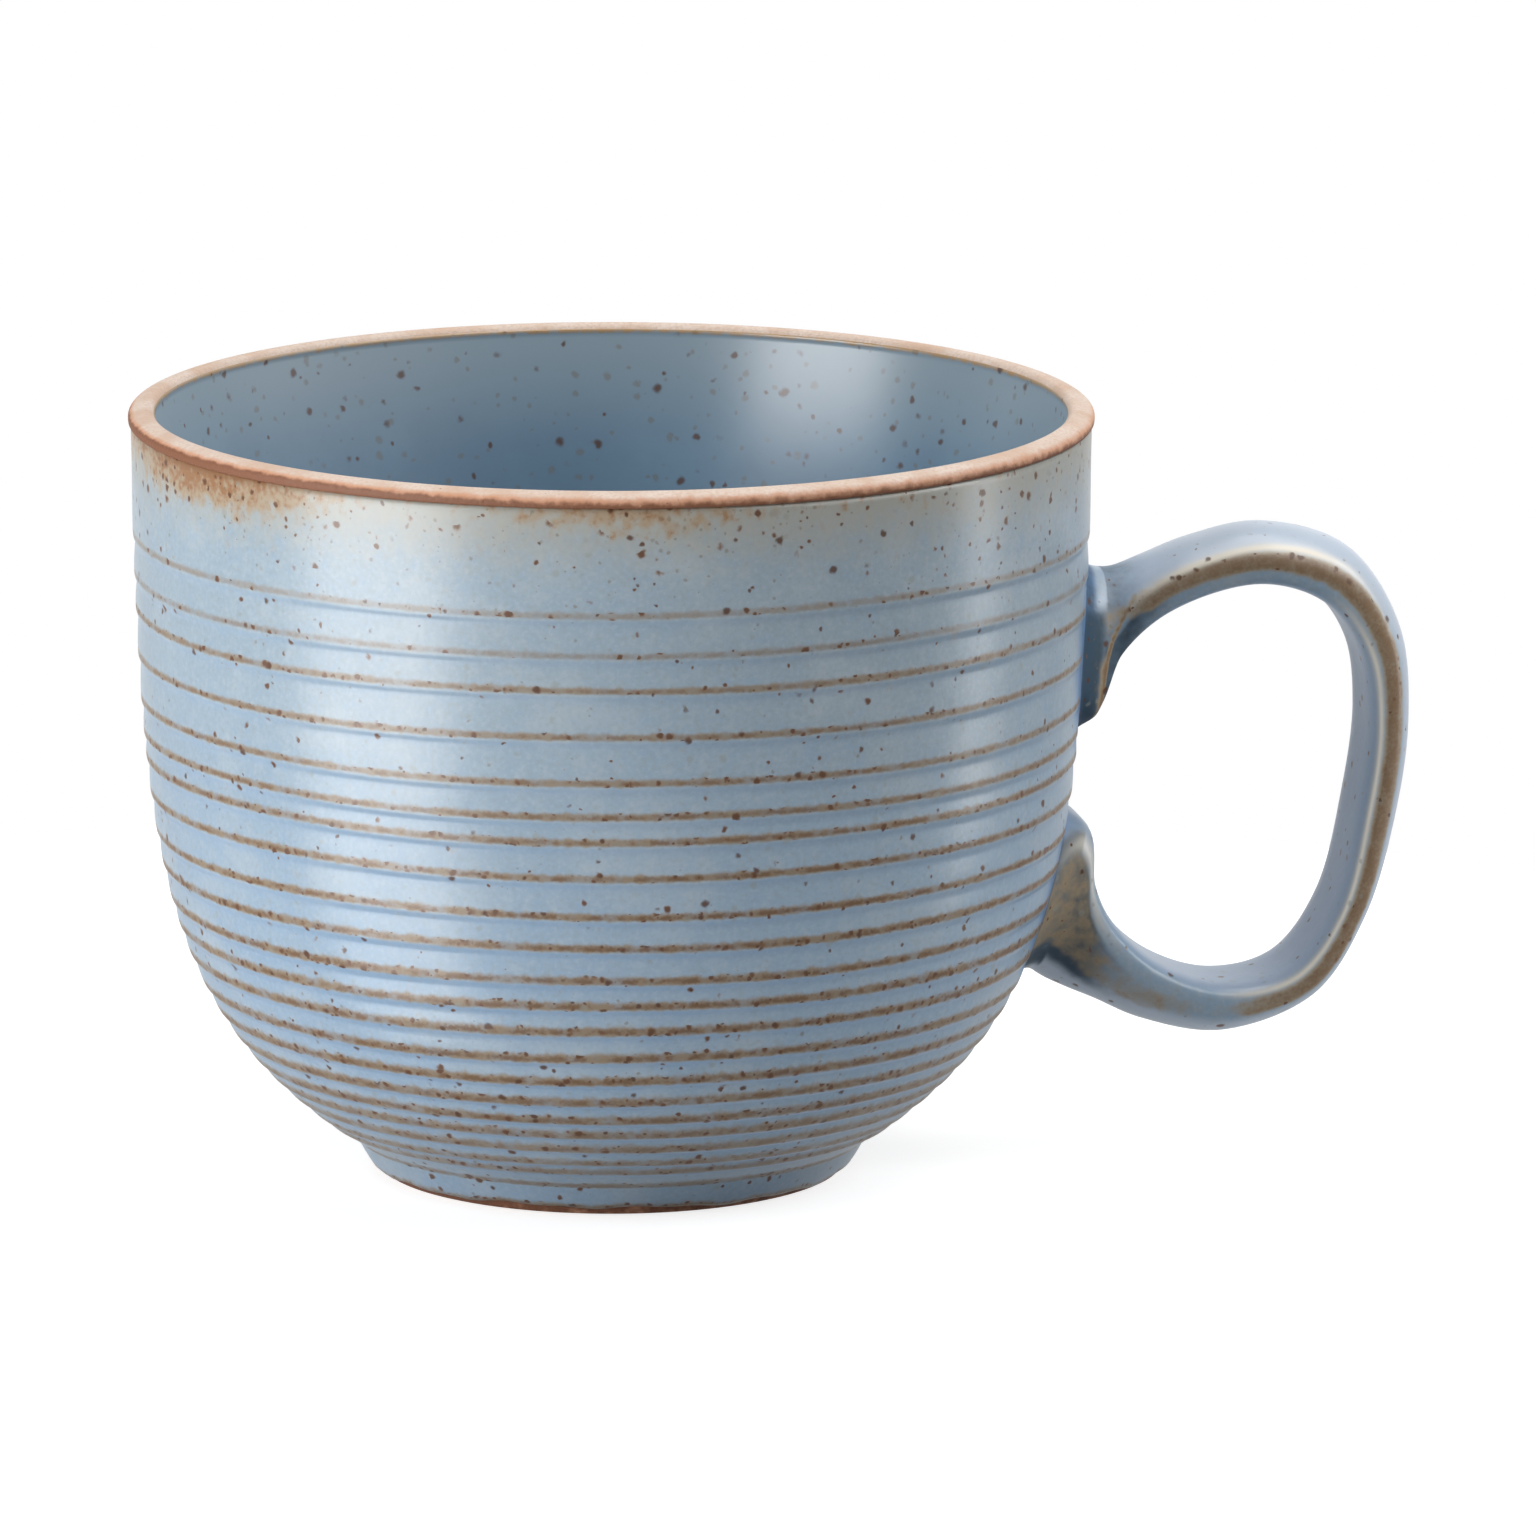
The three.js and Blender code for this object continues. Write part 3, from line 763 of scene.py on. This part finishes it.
def band_of(place):
    """The number of the band that a place lies in, and where the band starts and ends."""
    band = np.searchsorted(RINGS, place)
    return band, np.append(0.0, RINGS)[band], np.append(RINGS, FOOT_S)[band]


def wall_relief(place):
    """How far the glazed face stands out from the smooth wall: each band swells and then steps in."""
    band, start, end = band_of(place)
    past = place - start
    share = np.clip((past - FACE_STEP) / (end - start - FACE_STEP), 0.0, 1.0)
    swell = np.sin(math.pi / 2 * share) - 0.5
    swell = np.where(band == len(RINGS), 0.5 * share - 0.5, swell)
    relief = np.where(past < FACE_STEP, 0.5 - smooth(past, 0.0, FACE_STEP), swell)
    relief = np.where(band == 0, 0.5 * smooth(place, 3.0, RINGS[0]), relief)
    return relief * FACE_RELIEF


def ring_marks(place):
    """Numbers for the paint: nearness of a ring's line and of the blue below it, and the line's iron."""
    band, start, end = band_of(place)
    last = np.maximum(band - 1, 0)
    above = (end - place - LINE_CORE) / LINE_SPREAD[band]
    to_next = np.where(above > 0, 1 - above / LINE_ABOVE, 1 + above / LINE_BELOW)
    past = np.where(band > 0, place - start, UNDER_REACH + UNDER_START)
    from_last = 1 - (past + LINE_CORE) / LINE_SPREAD[last] / LINE_BELOW
    blue = np.clip(past / UNDER_START, 0.0, 1.0) * np.clip(1 - (past - UNDER_START) / UNDER_REACH, 0.0, 1.0)
    nearest = np.where(from_last > to_next, last, band)
    return {
        "line": np.clip(np.maximum(to_next, from_last), 0.0, 1.0),
        "under": blue * LINE_BLUE[last],
        "iron": LINE_IRON[nearest],
        "dark": LINE_DARK[nearest],
        "low": smooth(place, 12.0, 50.0),
        "rim": np.clip(1.0 - place / 16.0, 0.0, 1.0),
    }


# Brown runs under the lip: view angle, half width in degrees, reach in millimetres, strength
BLUSH_RUNS = [
    (-58, 22, 5.2, 1.1), (-95, 24, 4.0, 1.0), (2, 17, 4.5, 0.55), (36, 16, 3.0, 0.25),
    (118, 24, 5.0, 0.8), (165, 26, 4.0, 0.6), (-150, 24, 4.5, 0.6),
]


def blush(place, angle):
    """Strength of the lip's brown runs at places down the wall and angles from the view."""
    total = 0.25 * np.clip(1.0 - place / 1.2, 0.0, 1.0) + 0 * angle
    for middle, width, reach, strength in BLUSH_RUNS:
        offset = (angle - middle + 180) % 360 - 180
        run = strength * np.exp(-(offset / width) ** 2)
        total = np.maximum(total, run * np.clip(1.0 - place / reach, 0.0, 1.0))
    return total


FAR_FROM_ROOT = 100.0


def root_nearness(y, z):
    """Distance of wall points outside the nearer root, in millimetres, far where no root is."""
    near = [root_distance(y, z, outline) for outline in ROOT_OUTLINES]
    return np.where(np.cos(TURN_ANGLES) > 0, np.minimum(*near), FAR_FROM_ROOT)


# Lower edge of the outer glaze: its height, and its waves as count, start and height
HEM_HEIGHT = 0.75
HEM_WAVES = [(3, 1.0, 0.18), (11, 0.0, 0.12), (23, 2.0, 0.08)]
# Rows down the foot to that edge: share of the way, how far out, and strength of the brown line
HEM_ROWS = [(0.12, 0.0, 0.0), (0.4, 0.03, 0.0), (0.7, 0.02, 0.3), (0.9, -0.02, 0.7), (1.0, -0.25, 1.0)]


def hem_rows():
    """Rows from the wall's end down the foot to the uneven lower edge of the glaze."""
    foot_r, foot_z = beside(WALL, FOOT_S, 0.0)
    hem = np.full(TURNS, HEM_HEIGHT)
    for waves, start, rise in HEM_WAVES:
        hem = hem + rise * np.sin(waves * TURN_ANGLES + start)
    radius, height, line = [], [], []
    for share, out, brown in HEM_ROWS:
        z = foot_z + (hem - foot_z) * share
        flank = FOOT_RADIUS + (foot_r - GLAZE - FOOT_RADIUS) * z / foot_z
        radius.append(flank + GLAZE + out)
        height.append(z)
        line.append(np.full(TURNS, brown))
    return np.array(radius), np.array(height), np.array(line)


# How far the pooled blue and the painted shade round a root reach on the wall
ROOT_POOL_AND_SHADE = 4.5
# How the rings wander up and down: reach, waves round the cup, and turn per millimetre down the wall
RING_DRIFT = [(0.10, 2, 0.11), (0.07, 5, -0.23)]


def wall_marks(place, near, kept):
    """Numbers for the wall's paint: the rings fade out near the roots, where the glaze pools and painted
    shade comes in.
    """
    marks = {label: values + 0 * TURN_ANGLES for label, values in ring_marks(place).items()}
    marks["iron"] = marks["iron"] * kept
    marks["under"] = marks["under"] * kept
    marks["blush"] = blush(place, view_angle())
    marks["pool"] = 0.9 * np.exp(-(near / ROOT_POOL_AND_SHADE) ** 2)
    # Painted shade round the roots
    marks["painted_shade"] = 0.5 * np.exp(-(near / ROOT_POOL_AND_SHADE) ** 2)
    return marks


def outer_coat(material):
    """The outer glaze with the throwing rings in its face, faded out around the handle's roots."""
    place = wall_places()[:, None]
    drift = sum(reach * np.sin(waves * TURN_ANGLES + turn * place) for reach, waves, turn in RING_DRIFT)
    drift *= smooth(place, 1.0, 8.0) * smooth(place, FOOT_S, FOOT_S - 6.0)
    base_r, base_z = beside(WALL, place + drift, 0.0)
    near = root_nearness(base_r * np.sin(TURN_ANGLES), base_z)
    kept = smooth(near, 0.3, 3.0)
    radius, height = beside(WALL, place + drift, wall_relief(place) * kept)
    height = np.minimum(height, WALL_TOP - BOND)
    marks = wall_marks(place, near, kept)

    hem_r, hem_z, hem_line = hem_rows()
    back_r, back_z = beside(WALL, np.linspace(FOOT_S, 0.0, 12), BOND - GLAZE)
    back_r = np.append(FOOT_RADIUS + 0.12, back_r)[:, None] + 0 * TURN_ANGLES
    back_z = np.append(1.0, np.minimum(back_z, WALL_TOP - BOND))[:, None] + 0 * TURN_ANGLES
    full = np.ones(hem_line.shape)
    hem_marks = {"line": hem_line, "iron": full, "dark": full, "low": full, "under": 0.5 * full}
    for label in marks:
        hem_values = hem_marks.get(label, np.zeros(hem_line.shape))
        marks[label] = np.vstack([marks[label], hem_values, np.zeros(back_r.shape)])
    points = turned(np.vstack([radius, hem_r, back_r]), np.vstack([height, hem_z, back_z]))
    faces = grid_faces(len(points), TURNS, closed=True)
    return add_mesh("outer_coat", points.reshape(-1, 3), faces, material, marks)


# How much thicker the liner is below the lip, and over what length
LINER_SWELL = 2.9
LINER_SWELL_REACH = 60.0
# The liner's edge over the inner round of the lip: share of the half turn, and lift off the clay
LINER_EDGE = [(0.84, -0.1), (0.86, 0.04), (0.91, 0.06), (0.96, 0.05), (1.0, 0.03)]


def liner_edge():
    """Radius and height of the liner's upper edge, laid over the inner round of the lip."""
    crest = LIP_RADIUS - LIP_THICKNESS + LIP_CREST
    base = CUP_HEIGHT - LIP_ROUND
    rows = []
    for turn, lift in LINER_EDGE:
        angle = math.pi * turn
        radius = crest + math.cos(angle) * (LIP_CREST + lift)
        rows.append((radius, base + math.sin(angle) * (LIP_ROUND + lift)))
    return rows


def liner_coat(material):
    """The inner glaze from the lip to the middle of the floor."""
    places = np.concatenate([[0.0, 0.25, 0.5, 0.8, 1.2, 1.8], np.linspace(2.6, IN_S[-1], 70)])
    thicker = LINER_SWELL * np.sin(math.pi * np.clip(places / LINER_SWELL_REACH, 0.0, 1.0))
    face_r, face_z = beside(INSIDE, places, -thicker)
    back_places = np.linspace(0.0, IN_S[-1], 14)
    back_r, back_z = beside(INSIDE, back_places, GLAZE - BOND)
    rim = np.clip(0.35 - places / 3.0, 0.0, 1.0)
    top = IN_Z[0] - BOND
    profile = [(0.0, back_z[-1])] + list(zip(back_r[-2::-1], np.minimum(back_z[-2::-1], top)))
    edge = liner_edge()
    profile += edge
    profile += list(zip(face_r[:-1], np.minimum(face_z[:-1], top))) + [(0.0, face_z[-1])]
    # Painted light near the rim, fading over the top 13 mm
    high = 1.0 - smooth(places, 0.0, 13.0)
    none = np.zeros(len(back_r))
    edge_rim = np.linspace(1.0, 0.7, len(edge))
    edge_painted_light = np.ones(len(edge))
    marks = {"rim": np.concatenate([none, edge_rim, rim]), "high": np.concatenate([none, edge_painted_light, high])}
    return lathe("liner_coat", profile, material, marks)


def base_coat(material):
    """The glaze in the hollow of the foot, rounded at its edge."""
    edge = WELL_RADIUS - 1.2
    top = WELL_DEPTH - BOND
    face = top - GLAZE
    profile = [(0.0, face), (edge * 0.4, face), (edge * 0.8, face), (edge - 0.5, face)]
    profile += [(edge - 0.15, face + 0.06), (edge, face + 0.2), (edge, top), (edge * 0.5, top), (0.0, top)]
    thick = [0.9, 0.8, 0.7, 0.5, 0.2, 0.0, 0.0, 0.0, 0.0]
    return lathe("base_coat", profile, material, {"low": thick})


# Brown band on the handle's flanks: place along the handle, middle and half width from the inner
# edge at -1 to the outer edge at 1, and strength
BROWN_BAND = np.array([
    (0.09, 0.40, 0.2, 0.45), (0.15, 0.15, 0.35, 0.8), (0.25, 0.0, 0.36, 0.85), (0.33, -0.05, 0.4, 0.85),
    (0.45, -0.1, 0.45, 0.85), (0.60, -0.1, 0.45, 0.85), (0.66, -0.15, 0.42, 0.7), (0.70, -0.1, 0.35, 0.2),
    (0.75, 0.1, 0.4, 0.45), (0.80, 0.2, 0.4, 0.4), (0.92, 0.0, 0.6, 0.45), (1.0, -0.1, 0.7, 0.5),
])
# Painted highlight lines in cream along the handle, on its dome and on its inner corner: place, strength
# and middle
DOME_HIGHLIGHT = np.array([
    (0.08, 0.0, 0.45), (0.12, 0.5, 0.45), (0.18, 1.0, 0.45),
    (0.28, 1.0, 0.45), (0.33, 0.3, 0.4), (0.37, 0.0, 0.4),
])
INNER_HIGHLIGHT = np.array([
    (0.30, 0.0, -0.70), (0.38, 0.9, -0.70), (0.62, 1.0, -0.70), (0.67, 0.6, -0.70), (0.70, 0.0, -0.70),
    (0.78, 0.0, -0.60), (0.86, 0.45, -0.60), (1.0, 0.7, -0.85),
])
HIGHLIGHT_WIDTH = 0.13
HANDLE_LENGTH = 95.0
RIDGE_WIDTH = 1.0


def along_handle(table):
    """The columns of a table after its first, at places along the handle."""
    return [np.interp(ALONG, table[:, 0], column) for column in table.T[1:]]


def brown_marks():
    """Where the handle's glaze thins to brown on its flanks and on the ridge by its upper root."""
    flank = smooth(np.abs(SECTION_ACROSS), 0.55, 0.85)
    middle, reach, strength = along_handle(BROWN_BAND)
    off = np.abs(SECTION_DEPTH - middle)
    band = strength * flank * (1 - smooth(off, reach - 0.2, reach + 0.15))
    ridge_at = np.interp(SECTION_DEPTH, [-0.2, 0.1, 0.45], [0.04, 0.055, 0.1])
    away = (ALONG - ridge_at) * HANDLE_LENGTH / RIDGE_WIDTH
    ridge = np.exp(-away ** 2) * smooth(SECTION_DEPTH, 0.7, 0.4) * flank
    return np.maximum(band, ridge)


def painted_highlight_marks():
    """Painted highlight: the thin cream lines over the handle's corners."""
    corner = smooth(np.abs(SECTION_ACROSS), 0.4, 0.7)
    total = 0.0
    for table in (DOME_HIGHLIGHT, INNER_HIGHLIGHT):
        strength, middle = along_handle(table)
        total = total + strength * corner * np.exp(-((SECTION_DEPTH - middle) / HIGHLIGHT_WIDTH) ** 2)
    return total


def shade_marks():
    """Painted shade where the handle is a darker blue-grey: on its flanks under the upper arch, and by both
    roots.
    """
    flank = smooth(np.abs(SECTION_ACROSS), 0.5, 0.8)
    upper = smooth(ALONG, 0.24, 0.10) * smooth(SECTION_DEPTH, 0.3, 0.0)
    limit = np.interp(ALONG, [0.72, 0.85, 1.0], [-0.3, -0.45, -0.8])
    lower = smooth(ALONG, 0.72, 0.92) * smooth(SECTION_DEPTH - limit, -0.1, 0.2)
    top = 0.55 * smooth(ALONG, 0.14, 0.05)
    return np.maximum(flank * (0.75 * upper + lower), top)


def handle_rows():
    """Rings of points along the glazed handle, with a fillet into the wall at each end."""
    rings = handle_sections()
    upper = root_fillet(rings[0], unit(rings[0] - rings[1]), ROOT_OUTLINES[0], 1)
    lower = root_fillet(rings[-1], unit(rings[-1] - rings[-2]), ROOT_OUTLINES[1], -1)
    return np.concatenate([upper[::-1], rings, lower])


def tube(name, rows, material, marks=None):
    """A closed piece through rings of points, with a cap at both ends."""
    faces = grid_faces(len(rows), SECTION_POINTS, closed=False)
    last = (len(rows) - 1) * SECTION_POINTS
    faces.append(tuple(range(SECTION_POINTS)))
    faces.append(tuple(range(last + SECTION_POINTS - 1, last - 1, -1)))
    return add_mesh(name, rows.reshape(-1, 3), faces, material, marks)


# Clay inside the handle: share of the glazed section, and rows left off at each root
CORE_SHARE = 0.8
CORE_ROOT_ROWS = 9
# Pads of slip: share of the root's outline, and inner and outer face from the wall
PAD_SHARE = 0.6
PAD_DEPTHS = (-0.3, 0.5)


def drawn_in(rings, share):
    """Rings of points made smaller about their middles."""
    middle = rings.mean(axis=1, keepdims=True)
    return middle + (rings - middle) * share


def clay_handle(material):
    """The clay strap inside the glazed handle."""
    rows = handle_rows()[CORE_ROOT_ROWS:-CORE_ROOT_ROWS]
    return tube("clay_handle", drawn_in(rows, CORE_SHARE), material)


def slip_pad(name, outline, material):
    """The pad of slip on the wall under a root of the handle."""
    middle, up, down, across = outline
    small = (middle, up * PAD_SHARE, down * PAD_SHARE, across * PAD_SHARE)
    ring = outline_ring(small, 1)
    rows = [ring + np.array([depth, 0.0, 0.0]) for depth in PAD_DEPTHS]
    return tube(name, np.array(rows), material)


# Nearness of a fillet's rows to the wall, in the order of the lower root and of the upper root
TO_WALL = np.linspace(0.0, 1.0, FILLET_ROWS)[1:, None]
FROM_WALL = TO_WALL[::-1]


def root_shades():
    """Painted shade: how dark the fillets of the upper and of the lower root are."""
    flank = smooth(np.abs(SECTION_ACROSS), 0.25, 0.6) * smooth(SECTION_DEPTH, 0.8, 0.4)
    depth = 0.6 + 0.3 * smooth(FROM_WALL, 0.0, 0.3)
    recess = depth * smooth(FROM_WALL, 1.0, 0.75) * flank
    around = 0.65 * smooth(FROM_WALL, 0.1, 0.5) * smooth(FROM_WALL, 1.0, 0.8)
    side = smooth(np.abs(SECTION_ACROSS), 0.3, 0.6) * smooth(SECTION_DEPTH, -0.98, -0.85)
    lower = 0.8 * side * smooth(TO_WALL, 1.0, 0.8)
    return np.maximum(recess, around), lower


def painted_light_marks():
    """Painted light, where the glaze is paler: on the dome away from the wall, and inside the lower arch.
    """
    near_upper = 0.8 * smooth(ALONG, 0.16, 0.05)
    near_wall = np.concatenate([np.maximum(FROM_WALL, 0.8), near_upper, TO_WALL])
    dome = 0.75 * smooth(SECTION_DEPTH, 0.1, 0.6) * (1 - near_wall)
    inside = np.interp(ALONG, [0.5, 0.6, 0.74, 0.84], [0.0, 0.6, 0.6, 0.0])
    inside = inside * smooth(SECTION_DEPTH, -0.75, -0.95)
    inside = np.pad(inside, ((FILLET_ROWS - 1, FILLET_ROWS - 1), (0, 0)))
    return np.maximum(dome, inside)


def handle_coat(material):
    """The glazed handle, carried over into the wall at both roots."""
    rows = handle_rows()
    edge = brown_marks()
    painted_highlight = painted_highlight_marks()
    upper_shade, lower_shade = root_shades()
    upper_edge = edge[0] * (1 - FROM_WALL) ** 6
    lower_edge = edge[-1] * smooth(TO_WALL, 1.0, 0.7)
    pool = np.concatenate([smooth(FROM_WALL, 0.05, 0.7), 0 * ALONG, smooth(TO_WALL, 0.45, 0.9)])
    marks = {
        "edge": np.concatenate([upper_edge, edge, lower_edge]),
        # Painted shade
        "painted_shade": np.concatenate([upper_shade, shade_marks(), lower_shade]),
        # Painted highlight
        "painted_highlight": np.concatenate([painted_highlight[0] * (1 - FROM_WALL), painted_highlight, painted_highlight[-1] * (1 - TO_WALL)]),
        "pool": np.repeat(pool, SECTION_POINTS, axis=1),
        "low": np.ones(rows.shape[:2]),
        "under": np.tile(0.9 * smooth(SECTION_DEPTH, -0.6, -0.95), (len(rows), 1)),
        # Painted light
        "painted_light": painted_light_marks(),
    }
    return tube("handle_coat", rows, material, marks)


# Stage: floor, lights, world and camera


def look_from(azimuth, elevation, distance, target):
    """A place seen from a target at an azimuth to the right of -Y and an elevation, in degrees."""
    a = math.radians(azimuth)
    e = math.radians(elevation)
    way = Vector((math.sin(a) * math.cos(e), -math.cos(a) * math.cos(e), math.sin(e)))
    return target + way * distance


def aim(thing, target):
    thing.rotation_euler = (target - thing.location).to_track_quat("-Z", "Y").to_euler()


CUP_MIDDLE = Vector((AXIS_X, 0.0, 0.04))


def softbox(name, azimuth, elevation, distance, width, height, brightness):
    """A flat light turned to the cup. Its azimuth counts from the camera's, to the right."""
    lamp = bpy.data.lights.new(name, "AREA")
    lamp.shape = "RECTANGLE"
    lamp.size = width
    lamp.size_y = height
    lamp.energy = brightness * math.pi * width * height
    light = bpy.data.objects.new(name, lamp)
    light.location = look_from(VIEW_AZIMUTH + azimuth, elevation, distance, CUP_MIDDLE)
    aim(light, CUP_MIDDLE)
    light.visible_camera = False
    bpy.context.scene.collection.objects.link(light)


def white_for_eye(nodes, lit, shown, wall=1.0):
    """The shown shader for the camera and for mirror and glass rays, the lit one for all other light.

    Where a wall is given, mirror rays meet the shown shader only on that wall.
    """
    ray = nodes.add("ShaderNodeLightPath").outputs
    mirrored = nodes.math("MULTIPLY", ray["Is Glossy Ray"], wall)
    direct = nodes.math("MAXIMUM", ray["Is Camera Ray"], ray["Is Transmission Ray"])
    seen = nodes.math("MAXIMUM", direct, mirrored)
    return nodes.add("ShaderNodeMixShader", seen, lit, shown).outputs[0]


WHITE = (1.0, 1.0, 1.0, 1.0)
# Table top: sizes in metres, then whites and glows for the light and for the camera
FLOOR_RADIUS = 0.17
FLOOR_DROP = 0.0002
TABLE_WHITE = 0.7
TABLE_GLOW = 0.9
GLOW_PLACE = -0.08
PAPER_WHITE = 0.4
PAPER_GLOW = 0.8


def glowing(nodes, white, glow):
    """A white surface that also gives light."""
    surface = nodes.add("ShaderNodeBsdfDiffuse", (white, white, white, 1.0))
    light = nodes.add("ShaderNodeEmission", WHITE, glow)
    return nodes.add("ShaderNodeAddShader", surface.outputs[0], light.outputs[0]).outputs[0]


def floor_paint():
    """For the light a table that glows to the left of the cup, for the camera white paper with a shadow."""
    material = bpy.data.materials.new("floor")
    nodes = Nodes(material)
    nodes.tree.nodes.remove(nodes.tree.nodes["Principled BSDF"])
    leftward = nodes.step(nodes.along("X"), 0.0, GLOW_PLACE, 0.0, TABLE_GLOW, "LINEAR")
    table = glowing(nodes, TABLE_WHITE, leftward)
    paper = glowing(nodes, PAPER_WHITE, PAPER_GLOW)
    nodes.feed(nodes.tree.nodes["Material Output"].inputs["Surface"], white_for_eye(nodes, table, paper))
    return material


def floor():
    """A round white table top under the cup."""
    shape = bmesh.new()
    bmesh.ops.create_circle(shape, cap_ends=True, segments=128, radius=FLOOR_RADIUS)
    mesh = bpy.data.meshes.new("floor")
    shape.to_mesh(mesh)
    shape.free()
    mesh.materials.append(floor_paint())
    table = bpy.data.objects.new("floor", mesh)
    table.location = (AXIS_X, 0.0, -FLOOR_DROP)
    table.visible_glossy = False
    bpy.context.scene.collection.objects.link(table)


FRONT_LIGHT = 0.1
BACK_LIGHT = 0.5


def towards_back(nodes, start, end, dim, bright):
    """A level that rises from dim to bright towards the directions behind the cup."""
    facing = math.radians(VIEW_AZIMUTH)
    back = (-math.sin(facing), math.cos(facing), 0.0)
    way = nodes.coordinates["Generated"]
    behind = nodes.add("ShaderNodeVectorMath", way, back, operation="DOT_PRODUCT")
    return nodes.step(behind.outputs["Value"], start, end, dim, bright)


def world():
    """A dim studio with a white wall behind the cup. The camera sees white all round."""
    surround = bpy.data.worlds.new("studio")
    nodes = Nodes(surround)
    grey = nodes.tree.nodes["Background"]
    nodes.feed(grey.inputs["Color"], WHITE)
    nodes.feed(grey.inputs["Strength"], towards_back(nodes, 0.0, 0.9, FRONT_LIGHT, BACK_LIGHT))
    white = nodes.add("ShaderNodeBackground", WHITE)
    wall = towards_back(nodes, 0.88, 0.98, 0.0, 1.0)
    shown = white_for_eye(nodes, grey.outputs[0], white.outputs[0], wall)
    nodes.feed(nodes.tree.nodes["World Output"].inputs["Surface"], shown)
    bpy.context.scene.world = surround


def camera():
    lens = bpy.data.cameras.new("camera")
    lens.lens = VIEW_LENS
    lens.sensor_width = 36.0
    lens.shift_x = VIEW_SHIFT
    lens.clip_end = 50.0
    view = bpy.data.objects.new("camera", lens)
    target = Vector((AXIS_X, 0.0, VIEW_HEIGHT))
    view.location = look_from(VIEW_AZIMUTH, VIEW_ELEVATION, VIEW_DISTANCE, target)
    aim(view, target)
    bpy.context.scene.collection.objects.link(view)
    bpy.context.scene.camera = view


# Softboxes: name, azimuth from the camera, elevation, distance, width, height, brightness
LIGHTS = [
    ("left_softbox", -57, 1, 0.9, 0.62, 1.6, 5.2),
    ("right_strip", 97, 15, 0.77, 0.1, 0.95, 6.0),
    ("top_right", 75, 48, 0.8, 0.7, 0.7, 2.6),
    ("top_card", 150, 72, 0.8, 0.6, 0.6, 2.3),
]


def studio():
    for light in LIGHTS:
        softbox(*light)


glaze = glaze_paint()
liner = liner_paint()
clay = clay_paint()

PIECES = [
    (clay_body(clay), "bowl", "stoneware"),
    (outer_coat(glaze), "outer_glaze", "blue_glaze"),
    (liner_coat(liner), "liner_glaze", "liner_glaze"),
    (base_coat(glaze), "base_glaze", "blue_glaze"),
    (clay_handle(clay), "handle", "stoneware"),
    (handle_coat(glaze), "handle_glaze", "blue_glaze"),
    (slip_pad("upper_pad", ROOT_OUTLINES[0], clay), "upper_slip_joint", "slip"),
    (slip_pad("lower_pad", ROOT_OUTLINES[1], clay), "lower_slip_joint", "slip"),
]
for piece, node, slot in PIECES:
    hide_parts(node)

floor()
world()
studio()
camera()
bpy.context.scene.view_settings.view_transform = "Standard"
